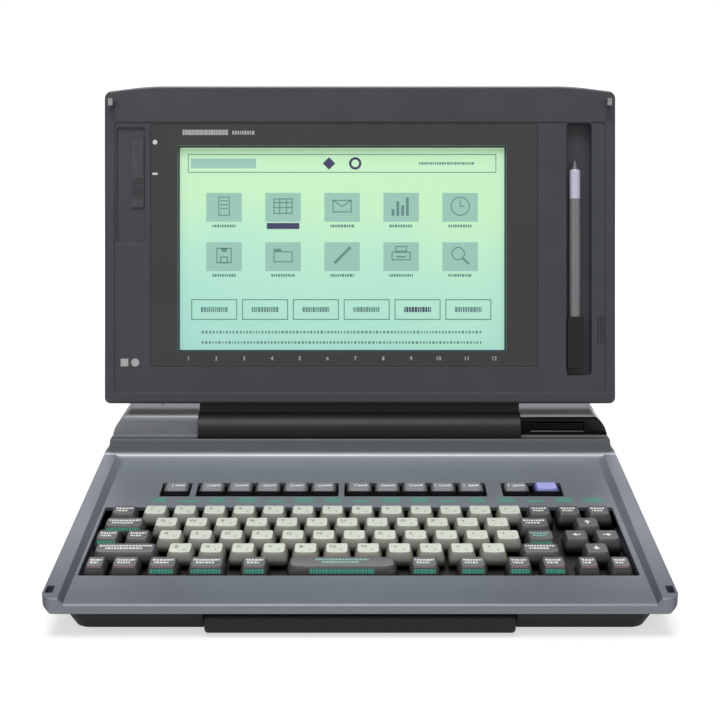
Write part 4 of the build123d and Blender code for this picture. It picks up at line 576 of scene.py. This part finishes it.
def cap_shell(cap, crown):
    """A cap's shell from rings of a rounded rectangle, |x/a|^7 + |y/b|^7 = 1.

    They run up the outside, over the rim on a quarter circle and in over the dished or crowned top to a pole,
    and three more make a plain hollow inside.
    """
    turn = np.linspace(0, 2 * np.pi, cap_segments, endpoint=False)
    power = 2 / cap_squareness
    shape = np.stack([np.sign(f(turn)) * np.abs(f(turn)) ** power for f in (np.cos, np.sin)], axis=-1)
    skirt_half = np.array((cap.right - cap.left, cap.far - cap.near)) / 2
    height = cap.top - cap.low
    arc = np.radians(np.linspace(0, 90, 5))
    # each ring: share of the way from skirt to top, inset there, drop from the top, scale;
    # where the drop is none, the share gives the height
    start_share = 1 - cap_rim_radius / height
    rings = [(0.0, cap_wall, height, 1.0), (0.0, 0.0, height, 1.0), (start_share * 0.5, 0.0, None, 1.0)]
    rings += [(start_share, 0.0, None, 1.0)]
    rings += [
        (1.0, cap_rim_radius * (1 - math.cos(a)) * cap_rim_share, cap_rim_radius * (1 - math.sin(a)), 1.0)
        for a in arc[1:]
    ]
    rings += [(1.0, cap_rim_radius * cap_rim_share, 0.0, scale) for scale in (0.86, 0.66, 0.44, 0.22, 0.02)]
    points = []
    for share, inset, drop, scale in rings:
        middle = cap.middle + (cap.top_middle - cap.middle) * share
        half = skirt_half + (cap.top_half - skirt_half) * share - inset
        flat = middle + shape * half * scale
        base = cap.low + height * share if drop is None else cap.top - drop
        dish = cap.surface(flat[:, 0], flat[:, 1], crown) - cap.top
        follow = np.clip((share - cap_dish_from) / (1 - cap_dish_from), 0, 1)
        points.append(np.column_stack((flat, base + dish * follow)))
    inner = []
    for share, scale in ((0.0, 1.0), (1.0, 1.0), (1.0, 0.02)):
        middle = cap.middle + (cap.top_middle - cap.middle) * share
        half = skirt_half + (cap.top_half - skirt_half) * share - cap_wall
        depth = cap.low if share == 0 else cap.top - cap_top_wall
        inner.append(np.column_stack((middle + shape * half * scale, np.full(cap_segments, depth))))
    outer_count = len(points)
    faces = [ring_loops(outer_count, cap_segments)]
    faces += [ring_loops(3, cap_segments)[:, ::-1] + outer_count * cap_segments]
    points = np.concatenate(points + inner)
    ends = [
        np.arange((outer_count - 1) * cap_segments, outer_count * cap_segments),
        np.arange((outer_count + 2) * cap_segments, (outer_count + 3) * cap_segments)[::-1],
    ]
    return points, [list(face) for group in faces for face in group] + [list(end) for end in ends]


def block(x, y, z):
    """A box between two places along each axis, as eight points and six faces that point outwards."""
    points = [(i, j, k) for k in z for j in y for i in x]
    faces = [(0, 2, 3, 1), (4, 5, 7, 6), (0, 1, 5, 4), (2, 6, 7, 3), (0, 4, 6, 2), (1, 3, 7, 5)]
    return np.array(points), faces


def joined(parts):
    """Several (points, faces) as one, with each part's faces counted on from the points before it."""
    points, faces, count = [], [], 0
    for part_points, part_faces in parts:
        points.append(np.asarray(part_points, float).reshape(-1, 3))
        faces += [[int(corner) + count for corner in face] for face in part_faces]
        count += len(points[-1])
    return np.concatenate(points), faces


key_nodes = [node for node in slot_of if node + "_press" in joints]
crowned = ("space_bar", "shift_keys")
plated = ("function_keys", "power_key")
caps = {}
for key_node in key_nodes:
    found = [Cap(points) for points in solids(key_node)]
    caps[key_node] = sorted(found, key=lambda cap: (-cap.near, cap.left))


def deck_piece(name, parts, material, body, smooth=False):
    """One piece of several parts given in the deck's places."""
    points, faces = joined(parts)
    return make_piece(
        name, on_surface(points, deck_origin, deck_axes), faces, material, body, smooth
    )


def make_plungers(node):
    """Black plungers under the plates of a thin-topped group: blocks a little smaller than the skirts; they are a
    real part, and their black also stands in for the deep shade under the plates.

    The caps of the group then end at their plates.
    """
    parts = []
    for cap in caps[node]:
        x = (cap.left + plunger_side, cap.right - plunger_side)
        y = (cap.near + plunger_near, cap.far - plunger_far)
        parts.append(block(x, y, (cap.low, cap.top - plunger_drop)))
        cap.low = cap.top - function_plate
    deck_piece(node + "_plungers", parts, slot_materials["case_black"], body_of[node])


def make_caps(node):
    """The sculpted caps of one group, with their stems, in place of the frame's plain ones."""
    parts = []
    if node in plated:
        make_plungers(node)
    for cap in caps[node]:
        parts.append(cap_shell(cap, node in crowned))
        for sides in cap.stem_sides:
            parts.append(block(sides, cap.stem_ends, (cap.foot, cap.top - stem_drop)))
    slot = slot_of[node]
    made = deck_piece(node + "_caps", parts, slot_materials[slot], body_of[node], smooth=True)
    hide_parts(node)


for key_node in key_nodes:
    make_caps(key_node)

# ---------------------------------------------------------------- printed marks

glyph_store = {}


def glyph(text):
    """A flat figure of height 1 as (points, faces), centred, from the plain built-in letter shapes."""
    if text not in glyph_store:
        curve = bpy.data.curves.new("figure", "FONT")
        curve.body = text
        curve.resolution_u = 2
        holder = bpy.data.objects.new("figure", curve)
        bpy.context.scene.collection.objects.link(holder)
        mesh = bpy.data.meshes.new_from_object(holder)
        bpy.data.objects.remove(holder)
        flat = np.array([vertex.co for vertex in mesh.vertices])[:, :2]
        faces = [tuple(face.vertices) for face in mesh.polygons]
        low, high = flat.min(axis=0), flat.max(axis=0)
        flat = (flat - (low + high) / 2) / (high - low)[1]
        glyph_store[text] = (flat, faces)
    return glyph_store[text]


def figure(text, middle, size):
    """A figure of a given height in flat local places."""
    flat, faces = glyph(text)
    return flat * size + np.array(middle), faces


def bar(x0, x1, y0, y1):
    """A filled rectangle."""
    return np.array(((x0, y0), (x1, y0), (x1, y1), (x0, y1))), [(0, 1, 2, 3)]


def outline(x0, x1, y0, y1, thickness):
    """A rectangle's frame: four bars."""
    t = thickness
    sides = [bar(x0, x1, y0, y0 + t), bar(x0, x1, y1 - t, y1)]
    return sides + [bar(x0, x0 + t, y0 + t, y1 - t), bar(x1 - t, x1, y0 + t, y1 - t)]


def polygon(middle, radius, sides, turned=0.0):
    """A regular polygon, or with many sides a disc: the radius times the cosine and sine of equal angles."""
    angle = np.linspace(0, 2 * np.pi, sides, endpoint=False) + turned
    points = np.array(middle) + radius * np.stack((np.cos(angle), np.sin(angle)), axis=-1)
    return points, [tuple(range(sides))]


def hoop(middle, radius, thickness, sides=24):
    """A ring between two circles, each its radius times the cosine and sine of equal angles."""
    angle = np.linspace(0, 2 * np.pi, sides, endpoint=False)
    circle = np.stack((np.cos(angle), np.sin(angle)), axis=-1)
    points = np.concatenate([np.array(middle) + r * circle for r in (radius, radius - thickness)])
    near = np.arange(sides)
    after = (near + 1) % sides
    faces = np.stack((near, after, after + sides, near + sides), axis=-1)
    return points, [tuple(face) for face in faces]


def stroke(start_point, end_point, thickness):
    """A straight stroke of a given thickness between two points."""
    a, b = np.array(start_point, float), np.array(end_point, float)
    side = np.array((a[1] - b[1], b[0] - a[0]))
    side *= thickness / 2 / np.linalg.norm(side)
    return np.array((a + side, a - side, b - side, b + side)), [(0, 1, 2, 3)]


def raised(marks, height):
    """Flat marks given their height over the surface: a number or a function of x and y."""
    lifted = []
    for flat, faces in marks:
        flat = np.asarray(flat, float)
        level = height(flat[:, 0], flat[:, 1]) if callable(height) else np.full(len(flat), height)
        lifted.append((np.column_stack((flat, level + print_lift)), faces))
    return lifted


rng = np.random.default_rng(7)


def word_bars(middle, width, height, gap=0.5 * mm):
    """A run of short bars of uneven widths, filling a width: print that says nothing."""
    marks, x = [], middle[0] - width / 2
    end = middle[0] + width / 2
    while x < end - 0.4 * mm:
        step = min(rng.uniform(0.7, 1.7) * mm, end - x)
        marks.append(bar(x, x + step, middle[1] - height / 2, middle[1] + height / 2))
        x += step + gap
    return marks


def on_top(cap, marks, crown=False):
    """Marks laid on the dished or crowned top of a cap."""
    return raised(marks, lambda x, y: cap.surface(x, y, crown))


letter_rows = {
    "number_keys": "1234567890",
    "upper_letter_keys": "QWERTYUIOP",
    "home_letter_keys": "ASDFGHJKL",
    "lower_letter_keys": "ZXCVBNM",
}
tight_gap, close_gap = 0.3 * mm, 0.35 * mm  # between the bars of small print
figure_offset, figure_height = np.array((-2.4, 1.6)) * mm, 3.0 * mm
dot_offset, dot_radius, dot_sides = np.array((2.4, -2.4)) * mm, 0.5 * mm, 10
stand_in_radius = 0.6 * mm  # of the dot that stands where the figures end


def print_letter_row(node, letters):
    """A plain figure high at the left of each cap, or a dot once they end, and a dot low at the right."""
    parts = []
    for index, cap in enumerate(caps[node]):
        high = cap.top_middle + figure_offset
        if index < len(letters):
            marks = [figure(letters[index], high, figure_height)]
        else:
            marks = [polygon(high, stand_in_radius, dot_sides)]
        marks.append(polygon(cap.top_middle + dot_offset, dot_radius, dot_sides))
        parts += on_top(cap, marks)
    deck_piece(node + "_print", parts, legend_dark, body_of[node])


cursor_turns = (1, 2, 0, 3)  # quarter turns: up, left, right, down
arrow_length = 5.0 * mm


def arrow(middle, quarter):
    """A plain arrow: a triangle and a bar, turned by quarter turns."""
    c, s = math.cos(quarter * math.pi / 2), math.sin(quarter * math.pi / 2)
    turn = np.array(((c, s), (-s, c)))
    head = np.array(((0.5, 0.0), (0.0, 0.45), (0.0, -0.45)))
    tail = np.array(((-0.5, -0.12), (0.0, -0.12), (0.0, 0.12), (-0.5, 0.12)))
    return [
        (head @ turn * arrow_length + middle, [(0, 1, 2)]),
        (tail @ turn * arrow_length + middle, [(0, 1, 2, 3)]),
    ]


line_margin, longest_line = 3.0 * mm, 30 * mm
upper_line, upper_height = np.array((0, 1.9)) * mm, 2.2 * mm
lower_line, lower_height, lower_share = np.array((-0.8, -1.5)) * mm, 2.0 * mm, 0.7


def print_dark_row(node, ink):
    """Two lines of bars on the dark caps, and arrows on the cursor keys."""
    parts = []
    for index, cap in enumerate(caps[node]):
        if node == "cursor_keys":
            marks = arrow(cap.top_middle, cursor_turns[index])
        else:
            width = min(2 * cap.top_half[0] - line_margin, longest_line)
            marks = word_bars(cap.top_middle + upper_line, width, upper_height)
            marks += word_bars(cap.top_middle + lower_line, width * lower_share, lower_height)
        parts += on_top(cap, marks, node in crowned)
    deck_piece(node + "_print", parts, ink, body_of[node])


def print_function_row():
    """A plain number on each function key, and a short run of bars beside it."""
    parts = []
    aside, number_height = np.array((2.6 * mm, 0.0)), 4.6 * mm
    run_width, run_height = 6.0 * mm, 2.6 * mm
    for number, cap in enumerate(sorted(caps["function_keys"], key=lambda cap: cap.left), 1):
        marks = [figure(str(number), cap.top_middle - aside, number_height)]
        marks += word_bars(cap.top_middle + aside * 0.8, run_width, run_height, tight_gap)
        parts += on_top(cap, marks)
    deck_piece("function_numbers", parts, legend_light, "function_keys_body")


front_margin, longest_front = 6.0 * mm, 36 * mm


def print_fronts(node, chosen, ink, up=0.62, height=2.6 * mm):
    """Bars on the sloping fronts of chosen caps: places run across the cap and up its front wall."""
    parts = []
    for index, cap in enumerate(caps[node]):
        if index not in chosen:
            continue
        foot = np.array((0.0, cap.near, cap.low))
        rise = np.array((0.0, cap.top_near, cap.top)) - foot
        length = np.linalg.norm(rise)
        rise /= length
        out = np.array((0.0, -rise[2], rise[1]))
        middle = (cap.left + cap.right) / 2
        width = min(cap.right - cap.left - front_margin, longest_front)
        for flat, faces in word_bars(np.array((middle, length * up)), width, height, close_gap):
            local = across * flat[:, :1] + foot + rise * flat[:, 1:2] + out * 2 * print_lift
            parts.append((local, faces))
    deck_piece(node + "_" + ink.name, parts, ink, body_of[node])


deck_line = 140.5 * mm  # up the deck, behind the number row
second_line = np.array((0, 4.0 * mm))


def print_deck():
    """Green bars on the deck behind the number row: a run for each key, and a second behind two in three."""
    marks = []
    for index, cap in enumerate(caps["number_keys"] + caps["editing_keys"][:3]):
        middle = np.array((cap.middle[0], deck_line))
        marks += word_bars(middle, rng.uniform(9, 14) * mm, 2.6 * mm, close_gap)
        if index % 3 != 1:
            marks += word_bars(middle + second_line, rng.uniform(6, 12) * mm, 2.4 * mm, close_gap)
    deck_piece("deck_print", raised(marks, 0.0), legend_green, "base")


for row_node, row_letters in letter_rows.items():
    print_letter_row(row_node, row_letters)
for row_node in ("left_control_keys", "shift_keys", "editing_keys"):
    print_dark_row(row_node, legend_light)
print_dark_row("enter_key", legend_teal)
print_dark_row("cursor_keys", legend_light)
print_dark_row("space_bar", legend_teal)
print_dark_row("lowest_row_keys", legend_light)
print_function_row()
print_fronts("lowest_row_keys", range(2, 9), legend_green)
print_fronts("enter_key", (0,), legend_green)
print_fronts("space_bar", (0,), legend_green)
print_fronts("lowest_row_keys", range(11), legend_mauve, 0.9, 0.8 * mm)
print_fronts("left_control_keys", (1, 2), legend_green, 0.72, 2.0 * mm)
print_deck()


def lid_marks(name, marks, level, material):
    """Flat marks at a level over the lid's face, as one piece that rides on the lid."""
    points, faces = joined(raised(marks, level))
    make_piece(name, on_surface(points, lid_origin, lid_axes), faces, material, "lid")


panel_level = -field_depth - 0.1 * mm
first_number, number_pitch, number_line = -115.6, 18.75, 30.4  # mm, along the foot of the panel


def print_panel():
    """Plain numbers along the panel's foot, a disc and a bar at its left, and plain bars over the window."""
    numbers = []
    for number in range(12):
        place = ((first_number + number_pitch * number) * mm, number_line * mm)
        numbers.append(figure(str(number + 1), place, 2.6 * mm))
    lamp_marks = [polygon((-138.1 * mm, 176.0 * mm), 1.6 * mm, 16)]
    lamp_marks.append(bar(-139.9 * mm, -136.3 * mm, 154.0 * mm, 155.4 * mm))
    lid_marks("panel_print", numbers + lamp_marks, panel_level, legend_light)
    bars = word_bars((-104.0 * mm, 182.6 * mm), 31 * mm, 3.6 * mm, tight_gap)
    bars += word_bars((-78.5 * mm, 182.4 * mm), 15 * mm, 2.6 * mm, 0.6 * mm)
    lid_marks("panel_bars", bars, panel_level, legend_grey)


def print_field():
    """A square and a disc at the left foot of the sunk field."""
    square = polygon((-158.6 * mm, 27.6 * mm), 3.6 * mm, 4, math.pi / 4)
    disc = polygon((-151.4 * mm, 27.6 * mm), 2.7 * mm, 20)
    lid_marks("field_emblem", [square, disc], -field_depth, legend_grey)


print_panel()
print_field()

# ---------------------------------------------------------------- the picture on the screen

menu_line, tab_line, rim_line, picture_line = 0.5 * mm, 0.6 * mm, 1.2 * mm, 0.7 * mm
picture_half = 6.5 * mm
ground_half, ground_low, ground_high = 12 * mm, 9.5 * mm, 10 * mm  # the pale ground round a picture
caption_drop, caption_width, caption_height = 12.4 * mm, 16 * mm, 1.8 * mm
marker_half = np.array((11, 2)) * mm
marked_picture = (0, 1)  # its caption is a dark bar
marked_tab = 4
screen_size = np.array((screen_right - screen_left, screen_top - screen_bottom))


def screen_place(u, v):
    """Local place of a share of the screen's width and height."""
    return np.array((screen_left, screen_bottom)) + screen_size * (u, v)


def pictogram(index, middle):
    """Ten plain pictures in turn. Their places are shares of half a picture's size, from its middle."""
    x, y = middle
    s, t = picture_half, picture_line

    def frame_of(u0, u1, v0, v1):
        return outline(x + s * u0, x + s * u1, y + s * v0, y + s * v1, t)

    def filled(u0, u1, v0, v1):
        return bar(x + s * u0, x + s * u1, y + s * v0, y + s * v1)

    def level(u0, u1, v):
        return bar(x + s * u0, x + s * u1, y + s * v, y + s * v + t)

    def upright(u, v0, v1):
        return bar(x + s * u, x + s * u + t, y + s * v0, y + s * v1)

    def line(u0, v0, u1, v1, weight=1.0):
        return stroke((x + s * u0, y + s * v0), (x + s * u1, y + s * v1), weight * t)

    page = [*frame_of(-0.6, 0.6, -1, 1), *(level(-0.4, 0.4, v) for v in (0.5, 0.1, -0.3))]
    table = [*frame_of(-1, 1, -0.8, 0.8), *(level(-1, 1, v) for v in (0.3, -0.2))]
    table += [upright(u, -0.8, 0.8) for u in (-0.4, 0.3)]
    letter = [*frame_of(-1, 1, -0.65, 0.65), line(-1, 0.65, 0, -0.05), line(1, 0.65, 0, -0.05)]
    chart = [filled(u, u + 0.3, -1, v) for u, v in ((-1, -0.3), (-0.5, 0.5), (0, 0.1), (0.5, 0.9))]
    clock = [hoop((x, y), s, t), line(0, 0, 0, 0.7), line(0, 0, 0.5, 0)]
    disk = [*frame_of(-0.8, 0.8, -0.8, 0.8), *frame_of(-0.4, 0.4, -0.8, -0.1), filled(-0.3, 0.3, 0.4, 0.8)]
    folder = [*frame_of(-1, 1, -0.7, 0.45), filled(-1, -0.2, 0.45, 0.7)]
    pen = [line(-0.8, -0.8, 0.6, 0.6, 2.6), polygon((x + s * 0.75, y + s * 0.75), s * 0.2, 12)]
    printer = [*frame_of(-1, 1, -0.5, 0.4), *frame_of(-0.6, 0.6, 0.4, 1), filled(-0.5, 0.5, -0.2, -0.05)]
    glass = [hoop((x - s * 0.2, y + s * 0.2), s * 0.7, t), line(0.3, -0.3, 0.9, -0.9, 2)]
    return (page, table, letter, chart, clock, disk, folder, pen, printer, glass)[index]


def menu_header(lines, tones, darks):
    """A frame across the top: a pale bar at its left, a square and a ring, and small print at its right."""
    left, right = screen_place(0.03, 0)[0], screen_place(0.97, 0)[0]
    low, high = screen_place(0, 0.87)[1], screen_place(0, 0.96)[1]
    lines.extend(outline(left, right, low, high, menu_line))
    tones.append(bar(left + 2 * mm, left + 46 * mm, low + 3 * mm, high - 3 * mm))
    darks.append(polygon(screen_place(0.46, 0.915), 4.2 * mm, 4))
    darks.append(hoop(screen_place(0.54, 0.915), 4.2 * mm, 1.6 * mm))
    lines.extend(word_bars(screen_place(0.82, 0.915), 38 * mm, 1.6 * mm))


def menu_pictures(lines, tones, darks):
    """Two rows of five pictures on pale grounds, each over a caption of small print."""
    for row, v in enumerate((0.70, 0.46)):
        for column in range(5):
            x, y = screen_place(0.14 + 0.18 * column, v)
            tones.append(bar(x - ground_half, x + ground_half, y - ground_low, y + ground_high))
            lines.extend(pictogram(row * 5 + column, (x, y + 1 * mm)))
            caption = y - caption_drop
            if (row, column) == marked_picture:
                wide, high = marker_half
                darks.append(bar(x - wide, x + wide, caption - high, caption + high))
            else:
                lines.extend(word_bars((x, caption), caption_width, caption_height))


def menu_foot(lines, darks):
    """A row of six tabs with a run of bars in each, and two lines of small print under them."""
    low, high = screen_place(0, 0.155)[1], screen_place(0, 0.255)[1]
    for tab in range(6):
        start_share = 0.04 + 0.155 * tab
        x0, x1 = screen_place(start_share, 0)[0], screen_place(start_share + 0.14, 0)[0]
        lines.extend(outline(x0, x1, low, high, tab_line))
        target = darks if tab == marked_tab else lines
        target.extend(word_bars(((x0 + x1) / 2, (low + high) / 2), 18 * mm, 3.4 * mm))
    for v in (0.095, 0.045):
        lines.extend(word_bars(screen_place(0.5, v), 190 * mm, 1.7 * mm, 1.1 * mm))


def draw_screen():
    """A plain menu in three inks, each a little over the one before, and a painted shade round its edge over all.
    """
    lines, tones, darks = [], [], []
    menu_header(lines, tones, darks)
    menu_pictures(lines, tones, darks)
    menu_foot(lines, darks)
    low, high = screen_place(0, 0), screen_place(1, 1)
    # painted shade round the sunk screen's edge
    rim = outline(low[0], high[0], low[1], high[1], rim_line)
    lid_marks("screen_rim_shade", rim, -glass_depth + 0.15 * mm, screen_edge_shade)
    lid_marks("screen_tones", tones, -glass_depth, screen_tone)
    lid_marks("screen_lines", lines, -glass_depth + 0.05 * mm, screen_line)
    lid_marks("screen_darks", darks, -glass_depth + 0.1 * mm, screen_dark)


draw_screen()

# ---------------------------------------------------------------- floor, light and camera


def floor_material():
    """Pale paper sweep: white to the camera and in reflections, with the object's soft shadow kept."""
    material, tree, shader, place = start("floor_paper")
    tree.nodes.remove(shader)
    path = add_node(tree, "LightPath")
    seen = add_node(
        tree,
        "Math",
        {0: path.outputs["Is Camera Ray"], 1: path.outputs["Is Glossy Ray"]},
        operation="MAXIMUM",
    )
    seen = add_node(
        tree,
        "Math",
        {0: seen.outputs[0], 1: path.outputs["Is Transmission Ray"]},
        operation="MAXIMUM",
    )
    # the lamps reach only the middle of the floor, so the paper glows more further out
    away = add_node(tree, "VectorMath", {0: place}, operation="LENGTH")
    level = add_node(
        tree,
        "MapRange",
        {"Value": away.outputs["Value"], "From Min": 0.35, "From Max": 1.1, "To Min": 0.62, "To Max": 1.0},
        interpolation_type="SMOOTHSTEP",
    )
    glow = add_node(tree, "Math", {0: seen.outputs[0], 1: level.outputs["Result"]}, operation="MULTIPLY")
    light = add_node(tree, "Emission", {"Color": (1, 1, 1, 1), "Strength": glow.outputs[0]})
    grain = add_node(tree, "TexNoise", {"Vector": place, "Scale": 1 / (40 * mm)})
    tone = add_node(
        tree, "Mix", {0: grain.outputs["Fac"], 6: linear("#aeaeae"), 7: linear("#b2b2b2")}, data_type="RGBA"
    )
    paper = add_node(tree, "BsdfDiffuse", {"Color": tone.outputs[2]})
    both = add_node(tree, "AddShader", {0: light.outputs[0], 1: paper.outputs[0]})
    tree.links.new(both.outputs[0], tree.nodes["Material Output"].inputs["Surface"])
    return material


floor_half = 12.0


def make_floor():
    """A square floor, wide enough to fill the view."""
    mesh = bpy.data.meshes.new("floor")
    corners = [(x * floor_half, y * floor_half, 0) for x, y in ((-1, -1), (1, -1), (1, 1), (-1, 1))]
    mesh.from_pydata(corners, [], [(0, 1, 2, 3)])
    mesh.materials.append(floor_material())
    floor = bpy.data.objects.new("floor", mesh)
    bpy.context.scene.collection.objects.link(floor)


def make_world():
    """White to the camera, and an even soft fill for the object."""
    world = bpy.data.worlds.new("studio")
    world.use_nodes = True
    tree = world.node_tree
    path = add_node(tree, "LightPath")
    strength = add_node(
        tree, "MapRange", {"Value": path.outputs["Is Camera Ray"], "To Min": 0.38, "To Max": 1.0}
    )
    background = tree.nodes["Background"]
    background.inputs["Color"].default_value = (1, 1, 1, 1)
    tree.links.new(strength.outputs[0], background.inputs["Strength"])
    bpy.context.scene.world = world


def make_lamp(name, place, target, size, power):
    """A square soft lamp that faces its target."""
    lamp = bpy.data.lights.new(name, "AREA")
    lamp.shape, lamp.size, lamp.energy = "SQUARE", size, power
    holder = bpy.data.objects.new(name, lamp)
    holder.location = place
    direction = Vector(np.subtract(target, place))
    holder.rotation_euler = direction.to_track_quat("-Z", "Y").to_euler()
    bpy.context.scene.collection.objects.link(holder)


make_floor()
make_world()
make_lamp("overhead", (-0.1, -0.55, 1.8), (0.0, 0.05, 0.05), 1.0, 22.0)
make_lamp("behind", (0.0, 1.1, 1.6), (0.0, 0.0, 0.05), 1.2, 20.0)
make_lamp("front_left", (-1.2, -1.7, 0.9), (0.0, 0.0, 0.1), 1.0, 3.5)
make_lamp("front_right", (1.3, -1.6, 0.9), (0.0, 0.0, 0.1), 1.0, 2.5)

camera_data = bpy.data.cameras.new("camera")
camera_data.lens = camera_lens
camera_data.sensor_width = sensor
camera = bpy.data.objects.new("camera", camera_data)
camera.location = camera_place
camera.rotation_euler = (math.radians(90 - camera_pitch), 0.0, 0.0)
bpy.context.scene.collection.objects.link(camera)
bpy.context.scene.camera = camera
bpy.context.scene.view_settings.view_transform = "Standard"
